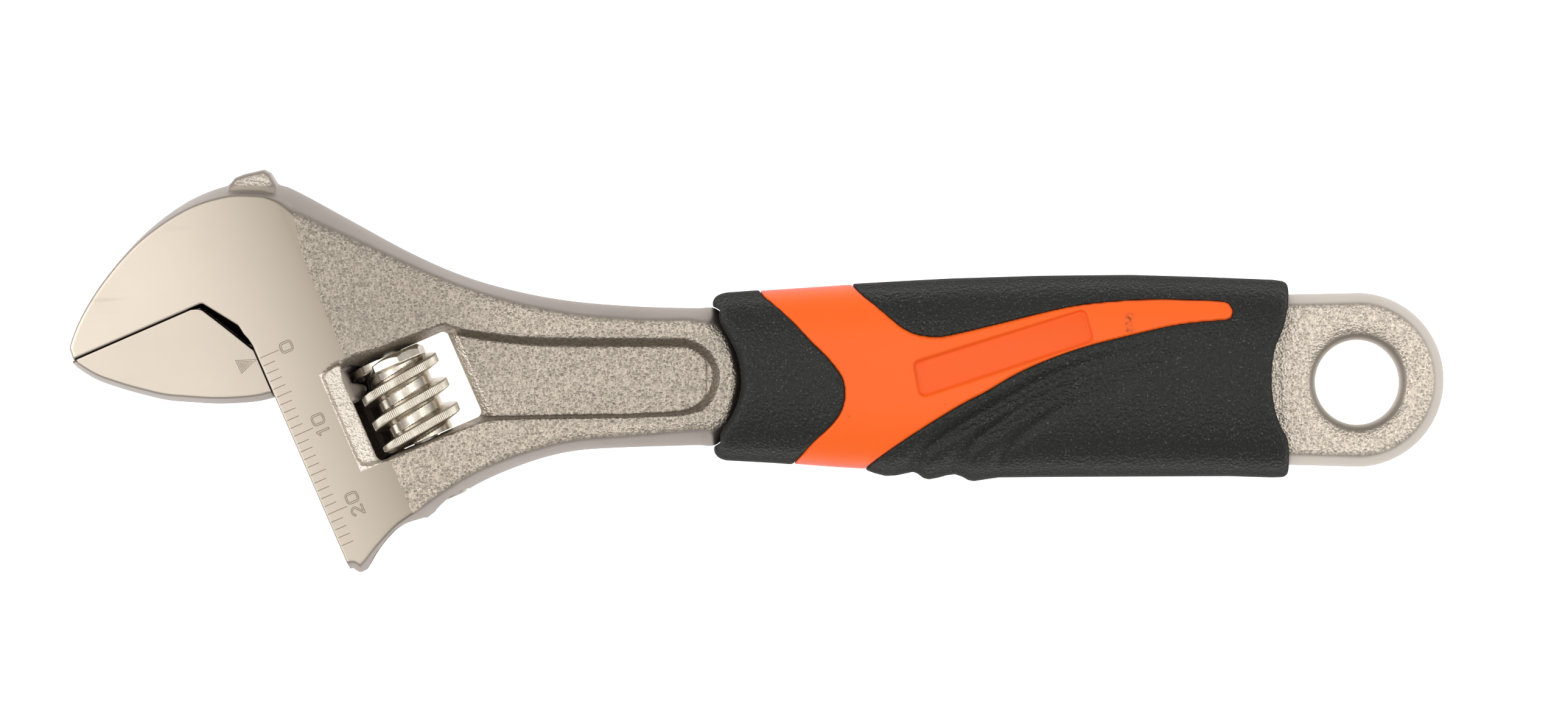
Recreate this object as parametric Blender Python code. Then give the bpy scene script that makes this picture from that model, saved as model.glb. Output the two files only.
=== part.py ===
"""Adjustable wrench of the 150 mm (6 inch) class with a two-colour moulded grip.

The wrench lies flat with its jaws closed. +X runs along the handle towards the hang hole, +Y towards the
crown of the head, and +Z up through the thickness. The origin is under the middle of the bounding box.
Every length in this file is in millimetres and every angle in degrees; meshes are written in metres.

The head is tilted, so its own parts use a head frame: u is the direction in which the jaw opens, v runs
from the scale edge back towards the handle, and the pair is turned by HEAD_ANGLE from the handle.
"""

import math

import bmesh
import bpy
from mathutils import Matrix, Vector

MM = 0.001
GAP = 0.3  # between pieces that touch on the real wrench

# Driving dimensions
GRIP_HALF_THICKNESS = 7.4
MIDDLE = GRIP_HALF_THICKNESS  # height of the wrench's middle plane above the floor
HEAD_HALF = 5.5
HANDLE_HALF = 4.0
WEB_HALF = 2.3
TANG_HALF = 2.6
RING_HALF = 3.6
HEAD_ANGLE = 23.5
HEAD_ORIGIN = (-58.56, 1.51)  # the scale's zero mark, in X and Y

# Head frame positions (u or v)
CLAMP_PLANE = -8.6
GROUND_EDGE = 9.3  # v where the ground face ends
TAPER_END = 26.0  # v where the handle's own thickness starts
BORE_V, BORE_R = 5.75, 4.65
BORE_BLIND_END = -15.0
SLOT_HALF, SLOT_START = 2.4, -1.95
WINDOW_U, WINDOW_V = (5.6, 16.5), (7.6, 21.45)
WINDOW_LIP_U, WINDOW_LIP_V = (4.4, 16.85), (5.9, 22.6)
WINDOW_LIP_DEPTH = 1.5

# Movable jaw
ROD_R = 4.35
ROD_U = (-14.2, 9.2)
NECK_HALF = 2.1
JAW_HALF = 5.35

# Worm and its pin
WORM_V = 14.15
WORM_U = (5.8, 16.25)
PITCH = 3.14
CREST_R, CORE_R = 5.1, 3.5
CREST_AT_RACK = 9.62  # u of a crest on the side that faces the rack
PIN_R, PIN_HEAD_R = 1.5, 2.1
PIN_U = (2.4, 24.0)
PIN_HEAD_U = 18.6
SPRING_R, SPRING_WIRE_R = 2.25, 0.22

# Handle end
RING_CENTRE, RING_R = (70.6, -0.95), 10.26
HOLE_CENTRE, HOLE_R = (70.62, -1.24), 5.0
TANG_Y = (-6.6, 5.0)

# Grip: (X, distance) tables of its outline, and the boundaries between its pieces in X and Y
GRIP_TOP = (
    (-5.2, 9.0), (-3.6, 9.35), (2, 9.75), (11, 10.35), (23, 11.05), (33, 11.35),
    (44, 11.45), (53, 11.15), (60.6, 10.85), (62.6, 10.2),
)
GRIP_BOTTOM = (
    (-5.2, -10.0), (-3.6, -10.45), (2, -10.75), (9.2, -11.3), (12.8, -11.5),
    (15.4, -12.3), (18.2, -11.9), (20.5, -12.65), (23.2, -12.15), (25.3, -12.9),
    (28.5, -12.45), (33, -12.4), (55.5, -12.3), (60.6, -12.45), (62.6, -11.8),
)
GRIP_THICKNESS = (
    (-5.2, 5.9), (-3.6, 6.4), (4, 6.9), (20, 7.25), (34, GRIP_HALF_THICKNESS),
    (48, 7.35), (60.6, 6.9), (62.6, 6.3),
)
GRIP_STATIONS = (
    -5.2, -3.6, -1, 2, 6, 9.2, 12.8, 14.2, 15.4, 16.8, 18.2, 19.4, 20.5, 21.8, 23.2,
    24.3, 25.3, 26.9, 28.5, 33, 38, 44, 50, 55.5, 60.6, 62.6,
)
ROUNDNESS = 2.7  # exponent of the grip's superellipse section
SLEEVE_WALL = 1.9
COLLAR_EDGE = (
    (0.3, 13.0), (0.35, 9.5), (3.1, 6.9), (6.3, 3.55), (9.2, 0.6), (10.3, -2.1),
    (9.7, -5.1), (8.55, -6.5), (5.6, -9.4), (4.0, -11.3), (3.0, -14.0),
)
SLEEVE_UPPER_EDGE = (
    (9.0, 13.0), (11.05, 10.3), (13.8, 7.8), (17.2, 5.0), (19.0, 4.25), (21.3, 4.05),
    (23.6, 4.5), (29, 5.7), (38, 7.8), (47, 8.35), (54.6, 8.25),
)
SLEEVE_LOWER_EDGE = (
    (54.6, 6.0), (49.2, 5.5), (43, 4.1), (38, 2.9), (34.2, 1.5), (26.8, -2.4),
    (19.5, -6.5), (15.2, -9.4), (12.6, -11.5), (10.4, -14.0),
)
STREAK_TIP = (55.0, 7.1)
PLAQUE_CENTRE, PLAQUE_SIZE, PLAQUE_TURN, PLAQUE_DEPTH = (28.8, 2.2), (20.2, 4.2), 17.5, 0.35

# Band of the drafted sides: (height as a share of the face's height, share of the inset)
SIDE_PROFILE = ((-1.0, 1.0), (-0.6, 0.3), (0.0, 0.0), (0.6, 0.3), (1.0, 1.0))


# ---------------------------------------------------------------- frames and curves


def head_xy(u, v):
    """X and Y of a point of the head frame."""
    turn = math.radians(HEAD_ANGLE)
    return (
        HEAD_ORIGIN[0] + u * math.sin(turn) + v * math.cos(turn),
        HEAD_ORIGIN[1] - u * math.cos(turn) + v * math.sin(turn),
    )


def head_v(x, y):
    """The v of a point given in X and Y."""
    turn = math.radians(HEAD_ANGLE)
    return (x - HEAD_ORIGIN[0]) * math.cos(turn) + (y - HEAD_ORIGIN[1]) * math.sin(turn)


def smooth_curve(points, steps=3):
    """Points of a Catmull-Rom curve through the given points, ends included."""
    padded = [points[0], *points, points[-1]]
    curve = []
    for before, start, end, after in zip(padded, padded[1:], padded[2:], padded[3:]):
        for step in range(steps):
            t = step / steps
            curve.append(
                tuple(
                    0.5
                    * (
                        2 * b
                        + (c - a) * t
                        + (2 * a - 5 * b + 4 * c - d) * t**2
                        + (3 * b - a - 3 * c + d) * t**3
                    )
                    for a, b, c, d in zip(before, start, end, after)
                )
            )
    return [*curve, tuple(points[-1])]


def arc(centre, radius, start, end, steps):
    """Points on an arc, ends included; angles count from +X towards +Y."""
    angles = [math.radians(start + (end - start) * i / steps) for i in range(steps + 1)]
    return [(centre[0] + radius * math.cos(a), centre[1] + radius * math.sin(a)) for a in angles]


def value_at(x, points):
    """Height at x of the smooth curve through (x, height) points, held level past its ends."""
    if x <= points[0][0]:
        return points[0][1]
    if x >= points[-1][0]:
        return points[-1][1]
    index = max(i for i, point in enumerate(points) if point[0] <= x)
    (x0, y0), (x1, y1) = points[index], points[index + 1]
    t = (x - x0) / (x1 - x0)
    return y0 + (y1 - y0) * t * t * (3 - 2 * t)


def area(outline):
    ends = [*outline[1:], outline[0]]
    return sum(a[0] * b[1] - b[0] * a[1] for a, b in zip(outline, ends)) / 2


def moved_in(outline, insets):
    """The outline with edge i, from point i to the next, moved inwards by insets[i]."""
    turn = 1 if area(outline) > 0 else -1
    count = len(outline)
    edges = [(Vector(outline[(i + 1) % count]) - Vector(outline[i])).normalized() for i in range(count)]
    inwards = [Vector((-edge.y, edge.x)) * turn for edge in edges]
    moved = []
    for i in range(count):
        corner = inwards[i - 1].x * inwards[i].y - inwards[i - 1].y * inwards[i].x
        before, after = insets[i - 1], insets[i]
        if abs(corner) < 0.3:
            shift = (inwards[i - 1] + inwards[i]).normalized() * (before + after) / 2
        else:
            shift = Vector(
                (
                    before * inwards[i].y - after * inwards[i - 1].y,
                    after * inwards[i - 1].x - before * inwards[i].x,
                )
            )
            shift /= corner
        moved.append(tuple(Vector(outline[i]) + shift))
    return moved


# ---------------------------------------------------------------- objects and solids


def material(name, colour, roughness, metallic=0.0):
    made = bpy.data.materials.new(name)
    made.use_nodes = True
    shader = made.node_tree.nodes["Principled BSDF"]
    shader.inputs["Base Color"].default_value = (*colour, 1.0)
    shader.inputs["Roughness"].default_value = roughness
    shader.inputs["Metallic"].default_value = metallic
    made.diffuse_color = (*colour, 1.0)
    return made


def add_object(name, mesh, finish=None, parent=None, smooth=True):
    """An object of a bmesh in millimetres, which lies in its parent's frame."""
    bmesh.ops.triangulate(mesh, faces=[face for face in mesh.faces if len(face.verts) == 4])
    bmesh.ops.recalc_face_normals(mesh, faces=mesh.faces)
    bmesh.ops.scale(mesh, vec=(MM, MM, MM), verts=mesh.verts)
    data = bpy.data.meshes.new(name)
    mesh.to_mesh(data)
    mesh.free()
    if finish:
        data.materials.append(finish)
    if smooth:
        data.shade_smooth()
        data.set_sharp_from_angle(angle=math.radians(35))
    made = bpy.data.objects.new(name, data)
    bpy.context.collection.objects.link(made)
    made.parent = parent
    return made


def loft(loops):
    """A closed bmesh skinned over loops of equal length, with flat ends."""
    mesh = bmesh.new()
    rings = [[mesh.verts.new(point) for point in loop] for loop in loops]
    count = len(rings[0])
    for lower, upper in zip(rings, rings[1:]):
        for i in range(count):
            j = (i + 1) % count
            mesh.faces.new((lower[i], lower[j], upper[j], upper[i]))
    mesh.faces.new(reversed(rings[0]))
    mesh.faces.new(rings[-1])
    return mesh


def prism(outline, bottom, top):
    """An outline in X and Y drawn out between two heights."""
    return loft([[(x, y, height) for x, y in outline] for height in (bottom, top)])


def turned(profile, centre, axis, steps=32):
    """A solid of (radius, distance along the axis) points turned about an axis through centre."""
    along = Vector(axis).normalized()
    side = along.orthogonal().normalized()
    across = along.cross(side)
    loops = []
    for radius, distance in profile:
        angles = [math.tau * i / steps for i in range(steps)]
        loops.append(
            [
                Vector(centre) + along * distance + (side * math.cos(a) + across * math.sin(a)) * radius
                for a in angles
            ]
        )
    return loft(loops)


def box(low, high):
    corners = [(low[0], low[1]), (high[0], low[1]), (high[0], high[1]), (low[0], high[1])]
    return prism(corners, low[2], high[2])


def combine(target, operation, *tools):
    """Adds one EXACT Boolean for each tool and hides the tools."""
    for tool in tools:
        modifier = target.modifiers.new(f"{operation.lower()} {tool.name}", "BOOLEAN")
        modifier.operation = operation
        modifier.solver = "EXACT"
        modifier.object = tool
        tool.hide_render = True
        tool.display_type = "WIRE"


def frame(name, location, turn=0.0):
    """An empty that holds the pieces of one frame."""
    empty = bpy.data.objects.new(name, None)
    empty.empty_display_size = 0.01
    empty.location = [value * MM for value in location]
    empty.rotation_euler = (0, 0, math.radians(turn))
    bpy.context.collection.objects.link(empty)
    return empty


# ---------------------------------------------------------------- wrench body


def face_half(x, y):
    """Half thickness of the forging: the ground head, then a taper down to the handle."""
    share = (head_v(x, y) - GROUND_EDGE) / (TAPER_END - GROUND_EDGE)
    return HEAD_HALF + (HANDLE_HALF - HEAD_HALF) * min(1.0, max(0.0, share))


def body_outline():
    """The forging's outline, and the width of the drafted band at each of its points."""
    crown = smooth_curve(
        [
            (-80.62, 1.85),
            (-80.86, 3.3),
            (-79.4, 6.85),
            (-76.6, 11.2),
            (-72.3, 16.1),
            (-67.5, 19.8),
            (-63.0, 21.75),
            (-59.3, 22.2),
            (-56.0, 21.95),
            (-53.5, 20.9),
            (-48.0, 17.9),
            (-41.0, 14.1),
            (-35.0, 11.45),
            (-29.0, 9.65),
            (-22.0, 8.35),
            (-14.0, 7.7),
            (-6.8, 7.5),
        ]
    )
    crown_band = [min(1.4, 0.25 + 0.07 * i) if i < 22 else 1.4 for i in range(len(crown))]
    end = smooth_curve([(-4.6, 6.9), (-2.4, 3.9), (-1.3, -0.8), (-2.3, -5.4), (-4.4, -8.1)], 2)
    belly = smooth_curve(
        [
            (-6.8, -8.65),
            (-15.1, -8.9),
            (-20.9, -9.25),
            (-25.1, -10.1),
            (-29.4, -11.6),
            (-33.0, -13.25),
            (-36.6, -15.5),
            (-39.4, -17.6),
            (-41.6, -19.1),
            (-43.7, -21.25),
            (-45.3, -23.3),
        ]
    )
    heel = [(-46.6, -23.97), head_xy(27.4, 0.0)]
    throat = [
        head_xy(u, v)
        for u, v in ((-1.6, 0.0), (-3.0, -0.3), (-4.3, -0.55), (-5.9, -1.6), (-8.3, -3.25))
    ]
    clamp = [head_xy(CLAMP_PLANE, -3.75), head_xy(CLAMP_PLANE, -20.0)]
    outline = [*crown, *end, *belly, *heel, *throat, *clamp]
    bands = [*crown_band, *[1.1] * len(end), *[1.2] * (len(belly) - 3), *[1.0] * 4]
    return outline, [*bands, *[0.0] * (len(outline) - len(bands))]


def forging_blank():
    """The head and handle: drafted sides, a level ground face, a tapering face and a level handle."""
    outline, bands = body_outline()
    loops = []
    for height, share in SIDE_PROFILE:
        rim = moved_in(outline, [band * share for band in bands])
        loops.append([(x, y, height) for x, y in rim])
    mesh = loft(loops)
    turn = math.radians(HEAD_ANGLE)
    for fold in (GROUND_EDGE, TAPER_END):
        bmesh.ops.bisect_plane(
            mesh,
            geom=[*mesh.verts, *mesh.edges, *mesh.faces],
            plane_co=(*head_xy(0, fold), 0),
            plane_no=(math.cos(turn), math.sin(turn), 0),
        )
    for vertex in mesh.verts:
        vertex.co.z = MIDDLE + vertex.co.z * face_half(vertex.co.x, vertex.co.y)
    return mesh


def ring_outline():
    """The hang-hole end: a round eye with square shoulders against the grip."""
    shoulder = 62.5
    eye = arc(RING_CENTRE, RING_R, -84, 84, 24)
    back = [(62.9, 5.6), (61.5, 3.0), (60.75, -0.95), (61.5, -4.9), (62.9, -8.4)]
    return [*eye, (shoulder, 9.05), *smooth_curve(back, 2), (shoulder, -10.85)]


def ring_blank():
    outline = ring_outline()
    bands = [1.1 if x > 62.7 else 0.3 for x, _ in outline]
    loops = []
    for height, share in SIDE_PROFILE:
        rim = moved_in(outline, [band * share for band in bands])
        loops.append([(x, y, MIDDLE + height * RING_HALF) for x, y in rim])
    return loft(loops)


def crown_lug():
    """The small wedge left on top of the crown."""
    outline = [
        (-62.6, 20.5),
        (-62.3, 22.0),
        (-61.5, 22.8),
        (-60.4, 23.3),
        (-57.95, 23.75),
        (-57.3, 23.45),
        (-56.4, 21.9),
        (-56.4, 20.0),
    ]
    loops = []
    for height, share in ((-4.6, 1.0), (-3.4, 0.0), (3.4, 0.0), (4.6, 1.0)):
        rim = moved_in(outline, [0.7 * share] * len(outline))
        loops.append([(x, y, MIDDLE + height) for x, y in rim])
    return loft(loops)


def recess_outline():
    """Lip of the panel sunk into the handle; its left end opens into the worm's window."""
    upper = [(-36.4, 5.8), (-34.4, 5.15), (-31.7, 4.75), (-28.0, 4.3), (-23.6, 4.1), (-8.5, 4.05)]
    end = smooth_curve([(-7.0, 3.5), (-5.3, 2.2), (-4.4, 0.5), (-4.3, -1.2), (-4.9, -3.1), (-6.4, -4.7)], 2)
    lower = [(-8.5, -5.1), (-15.0, -5.35), (-23.6, -5.5), (-32.6, -5.6)]
    window = [head_xy(15.2, 19.0), head_xy(6.6, 19.0)]
    return [*upper, *end, *lower, *window]


def recess_cutter(side):
    """side is 1 for the upper face and -1 for the lower one."""
    lip = recess_outline()
    floor = moved_in(lip, [1.1] * (len(lip) - 2) + [0.0, 0.0])
    levels = ((WEB_HALF, floor), (HANDLE_HALF + 0.1, lip), (HEAD_HALF + 3, lip))
    return loft([[(x, y, MIDDLE + side * height) for x, y in rim] for height, rim in levels])


def rounded_rectangle(u_range, v_range, radius):
    """Corners of a rounded rectangle of the head frame, in X and Y."""
    points = []
    for u_end, v_end, start in ((1, 1, 0), (0, 1, 90), (0, 0, 180), (1, 0, 270)):
        centre = (
            u_range[u_end] + (radius if u_end == 0 else -radius),
            v_range[v_end] + (radius if v_end == 0 else -radius),
        )
        points += [head_xy(u, v) for u, v in arc(centre, radius, start, start + 90, 4)]
    return points


def window_cutter():
    """The window that the worm sits in: straight through, with sloped lips on both faces."""
    hole = rounded_rectangle(WINDOW_U, WINDOW_V, 0.7)
    lip = rounded_rectangle(WINDOW_LIP_U, WINDOW_LIP_V, 0.9)
    edge = HEAD_HALF - WINDOW_LIP_DEPTH
    heights = (-9.0, -HEAD_HALF - 0.05, -edge, edge, HEAD_HALF + 0.05, 9.0)
    rims = (lip, lip, hole, hole, lip, lip)
    return loft([[(x, y, MIDDLE + h) for x, y in rim] for h, rim in zip(heights, rims)])


def head_cylinder(radius, u_start, u_end, v, steps=32):
    """A cylinder along u, centred in the head's thickness, in world X, Y and Z."""
    start = Vector((*head_xy(u_start, v), MIDDLE))
    along = Vector((*head_xy(u_end, v), MIDDLE)) - start
    return turned(((radius, 0.0), (radius, along.length)), start, along, steps)


def hole_cutter():
    """The hang hole, with a rounded mouth on both faces."""
    half = [(HOLE_R, 0.0), (HOLE_R, RING_HALF - 1.3), (HOLE_R + 0.25, RING_HALF - 0.55)]
    half += [(HOLE_R + 0.85, RING_HALF), (HOLE_R + 1.6, RING_HALF + 0.5)]
    profile = [(radius, -height) for radius, height in reversed(half[1:])] + half
    return turned(profile, (*HOLE_CENTRE, MIDDLE), (0, 0, 1), 40)


def make_body(finish):
    body = add_object("wrench_body", forging_blank(), finish)
    tang_low = (-6.0, TANG_Y[0], MIDDLE - TANG_HALF)
    tang_high = (64.0, TANG_Y[1], MIDDLE + TANG_HALF)
    tang = add_object("tang", box(tang_low, tang_high))
    ring = add_object("ring", ring_blank())
    lug = add_object("crown_lug", crown_lug())
    combine(body, "UNION", tang, ring, lug)

    slot_side = [head_xy(u, v) for u, v in ((SLOT_START, -4), (40, -4), (40, BORE_V), (SLOT_START, BORE_V))]
    cutters = {
        "recess_upper": recess_cutter(1),
        "recess_lower": recess_cutter(-1),
        "window": window_cutter(),
        "rod_bore": head_cylinder(BORE_R, BORE_BLIND_END, 40, BORE_V),
        "neck_slot": prism(slot_side, MIDDLE - SLOT_HALF, MIDDLE + SLOT_HALF),
        "pin_bore": head_cylinder(PIN_R + 0.2, PIN_U[0] - GAP, 40, WORM_V, 20),
        "pin_head_bore": head_cylinder(PIN_HEAD_R + 0.25, PIN_HEAD_U - GAP, 40, WORM_V, 20),
        "hang_hole": hole_cutter(),
    }
    for name, cutter in cutters.items():
        combine(body, "DIFFERENCE", add_object(name, cutter))


# ---------------------------------------------------------------- movable jaw


def jaw_outline():
    """The jaw's blade in u and v, and the width of its drafted band at each point."""
    face = CLAMP_PLANE + 0.27
    root = [(face, -19.85), (face, -4.6), (-8.0, -3.8), (-6.2, -2.75), (-4.0, -1.55), (-1.5, -0.35)]
    back = smooth_curve(
        [
            (4.6, -0.35),
            (4.55, -1.9),
            (3.7, -4.55),
            (2.65, -7.1),
            (1.4, -9.55),
            (0.1, -11.95),
            (-1.55, -14.2),
            (-3.35, -16.4),
            (-5.3, -18.5),
            (-7.3, -19.95),
        ],
        2,
    )
    return [*root, *back], [*[0.0] * len(root), *[0.55] * (len(back) - 1), 0.3]


def blade():
    outline, bands = jaw_outline()
    loops = []
    for height, share in SIDE_PROFILE:
        rim = moved_in(outline, [band * share for band in bands])
        loops.append([(u, v, height * JAW_HALF) for u, v in rim])
    return loft(loops)


def groove(centre_u):
    """One rack groove: a wedge across the rod, slanted to follow the worm's helix."""
    floor_v = WORM_V - CREST_R - 0.27
    slant = -PITCH / (math.tau * (CREST_R - 0.5))
    section = ((-0.7, floor_v), (0.7, floor_v), (1.15, 10.15), (1.5, 12.0), (-1.5, 12.0), (-1.15, 10.15))
    loops = []
    for z in (-5.0, 5.0):
        loops.append([(centre_u + slant * z + u, v, z) for u, v in section])
    return loft(loops)


def make_jaw(finish, head):
    jaw = add_object("movable_jaw", blade(), finish, head)
    neck = add_object("jaw_neck", box((-1.3, -1.5, -NECK_HALF), (4.25, BORE_V, NECK_HALF)), None, head)
    bevel = 0.5
    ends = (
        (ROD_R - bevel, ROD_U[0]),
        (ROD_R, ROD_U[0] + bevel),
        (ROD_R, ROD_U[1] - bevel),
        (ROD_R - bevel, ROD_U[1]),
    )
    rod = add_object("jaw_rod", turned(ends, (0, BORE_V, 0), (1, 0, 0)), None, head)
    combine(jaw, "UNION", neck, rod)
    count = 8
    for index in range(count):
        tooth = add_object(f"groove_{index}", groove(CREST_AT_RACK - PITCH * index), None, head)
        combine(jaw, "DIFFERENCE", tooth)


# ---------------------------------------------------------------- worm, pin and spring


def worm_blank():
    """The worm's thread on a grid that is sheared by one pitch a turn, and closed by a fan at each end."""
    section = (
        (0.0, CREST_R),
        (0.13, CREST_R - 0.06),
        (0.18, CREST_R - 0.35),
        (0.29, CORE_R + 0.3),
        (0.38, CORE_R),
        (0.62, CORE_R),
        (0.71, CORE_R + 0.3),
        (0.82, CREST_R - 0.35),
        (0.87, CREST_R - 0.06),
    )
    around, pitches = 32, 6
    start = CREST_AT_RACK - PITCH * 2.5
    mesh = bmesh.new()

    def point(step, sample):
        turn, place = divmod(sample, len(section))
        share, radius = section[place]
        angle = math.tau * step / around
        along = start + PITCH * (turn + share + step / around)
        return (along, WORM_V + radius * math.cos(angle), radius * math.sin(angle))

    rows = len(section) * pitches
    grid = [[mesh.verts.new(point(step, sample)) for sample in range(rows)] for step in range(around)]

    def vertex(step, sample):
        return grid[0][sample + len(section)] if step == around else grid[step][sample]

    last = rows - len(section) - 1
    for step in range(around):
        for sample in range(last):
            mesh.faces.new(
                (
                    vertex(step, sample),
                    vertex(step + 1, sample),
                    vertex(step + 1, sample + 1),
                    vertex(step, sample + 1),
                )
            )
    for sample, along in ((0, start - 2), (last, start + PITCH * pitches + 2)):
        tip = mesh.verts.new((along, WORM_V, 0))
        rim = [vertex(step, sample) for step in range(around)]
        rim += [grid[0][sample + index] for index in range(len(section), -1, -1)]
        for near, far in zip(rim, rim[1:]):
            mesh.faces.new((near, far, tip))
    unused = [vertex for vertex in mesh.verts if not vertex.link_faces]
    bmesh.ops.delete(mesh, geom=unused, context="VERTS")
    return mesh


def along_worm(profile, steps=32):
    """A solid turned about the worm's axis in the head frame."""
    return turned(profile, (0, WORM_V, 0), (1, 0, 0), steps)


def make_worm(finish, head):
    worm = add_object("worm", worm_blank(), finish, head)
    start, end = WORM_U
    barrel = (
        (CREST_R - 0.9, start),
        (CREST_R + 1, start + 1.6),
        (CREST_R + 1, end - 1.6),
        (CREST_R - 0.9, end),
    )
    combine(worm, "INTERSECT", add_object("worm_ends", along_worm(barrel), None, head))
    seat = add_object("spring_seat", along_worm(((2.85, start - 1), (2.85, start + 2.4))), None, head)
    bore_profile = ((PIN_R + 0.25, start - 2), (PIN_R + 0.25, end + 2))
    bore = add_object("worm_bore", along_worm(bore_profile, 20), None, head)
    combine(worm, "DIFFERENCE", seat, bore)
    place_origin(worm, (0, WORM_V, 0))


def place_origin(piece, point):
    """Moves a piece's origin to a point of its frame, and leaves the piece where it is."""
    offset = Vector(point) * MM
    piece.data.transform(Matrix.Translation(-offset))
    piece.location = offset


def make_pin(finish, head):
    start, end = PIN_U
    shoulder = PIN_HEAD_U
    profile = (
        (PIN_R - 0.3, start),
        (PIN_R, start + 0.3),
        (PIN_R, shoulder),
        (PIN_HEAD_R, shoulder + 0.4),
        (PIN_HEAD_R, end - 0.3),
        (PIN_HEAD_R - 0.3, end),
    )
    pin = add_object("worm_pin", along_worm(profile, 20), finish, head)
    slot_low = (end - 0.8, WORM_V - 3, -0.35)
    slot_high = (end + 1, WORM_V + 3, 0.35)
    slot = add_object("driver_slot", box(slot_low, slot_high), None, head)
    combine(pin, "DIFFERENCE", slot)


def make_spring(finish, head):
    """The small coil between the worm and the top of its window, round the pin."""
    start, rise, turns, per_turn = WORM_U[0] + 0.12, 0.68, 2.6, 14
    curve = bpy.data.curves.new("worm_spring", "CURVE")
    curve.dimensions = "3D"
    curve.bevel_depth = SPRING_WIRE_R * MM
    curve.bevel_resolution = 1
    curve.use_fill_caps = True
    spline = curve.splines.new("POLY")
    count = round(turns * per_turn) + 1
    spline.points.add(count - 1)
    for index, point in enumerate(spline.points):
        angle = math.tau * index / per_turn
        along = start + rise * index / per_turn
        place = (along, WORM_V + SPRING_R * math.cos(angle), SPRING_R * math.sin(angle))
        point.co = (*[value * MM for value in place], 1)
    curve.materials.append(finish)
    spring = bpy.data.objects.new("worm_spring", curve)
    bpy.context.collection.objects.link(spring)
    spring.parent = head


# ---------------------------------------------------------------- grip

GRIP_MIDDLE_Y = -0.75
def grip_loop(x, wall):
    """The grip's section at x, with its wall taken off all round."""
    top = value_at(x, GRIP_TOP) - wall - GRIP_MIDDLE_Y
    bottom = GRIP_MIDDLE_Y - value_at(x, GRIP_BOTTOM) - wall
    half = value_at(x, GRIP_THICKNESS) - wall
    steps = 28
    points = []
    for step in range(steps):
        angle = math.tau * step / steps
        across = math.copysign(abs(math.cos(angle)) ** (2 / ROUNDNESS), math.cos(angle))
        rise = math.copysign(abs(math.sin(angle)) ** (2 / ROUNDNESS), math.sin(angle))
        points.append((x, GRIP_MIDDLE_Y + across * (top if across > 0 else bottom), MIDDLE + rise * half))
    return points


def grip_blank(wall=0.0, start=-5.2, end=62.6):
    stations = [start, *[x for x in GRIP_STATIONS if start + 0.5 < x < end - 0.5], end]
    return loft([grip_loop(x, wall) for x in stations])


def grip_ends():
    """Plan of the grip: both ends are hollowed, round the handle's neck and round the eye."""
    neck = arc((-15.4, -0.65), 13.6, -40.5, 40.5, 12)
    eye = arc((78.4, -0.75), 18.0, 154, 206, 10)
    return [(-5.15, -15.0), *neck, (-5.15, 15.0), (62.45, 15.0), *eye, (62.45, -15.0)]


def edge_moved(points, distance):
    """An open edge moved sideways, to the left of its direction."""
    curve = smooth_curve(points, 2)
    moved = []
    for index, point in enumerate(curve):
        before = Vector(curve[max(0, index - 1)])
        after = Vector(curve[min(len(curve) - 1, index + 1)])
        along = (after - before).normalized()
        moved.append((point[0] - along.y * distance, point[1] + along.x * distance))
    return moved


def grip_plan(piece):
    """Plan of the part of the grip's surface that belongs to one piece."""
    half = GAP / 2
    if piece == "collar":
        return [(-20.0, 14.0), *edge_moved(COLLAR_EDGE, -half), (-20.0, -14.0)]
    if piece == "core":
        upper = edge_moved(SLEEVE_UPPER_EDGE, -half)
        lower = edge_moved(SLEEVE_LOWER_EDGE, -half)
        tip = (STREAK_TIP[0] - half, STREAK_TIP[1])
        return [*edge_moved(COLLAR_EDGE, half), *reversed([*upper, tip, *lower])]
    upper = edge_moved(SLEEVE_UPPER_EDGE, half)
    lower = edge_moved(SLEEVE_LOWER_EDGE, half)
    tip = (STREAK_TIP[0] + half, STREAK_TIP[1])
    return [*upper, tip, *lower, (70.0, -15.0), (70.0, 15.0)]


def plaque_outline():
    """The shallow name panel sunk into the orange streak, left blank."""
    turn = math.radians(PLAQUE_TURN)
    half_long, half_wide, radius = PLAQUE_SIZE[0] / 2, PLAQUE_SIZE[1] / 2, 0.9
    points = []
    for side_x, side_y, start in ((1, 1, 0), (-1, 1, 90), (-1, -1, 180), (1, -1, 270)):
        centre = (side_x * (half_long - radius), side_y * (half_wide - radius))
        points += arc(centre, radius, start, start + 90, 3)
    return [
        (
            PLAQUE_CENTRE[0] + x * math.cos(turn) - y * math.sin(turn),
            PLAQUE_CENTRE[1] + x * math.sin(turn) + y * math.cos(turn),
        )
        for x, y in points
    ]


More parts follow.
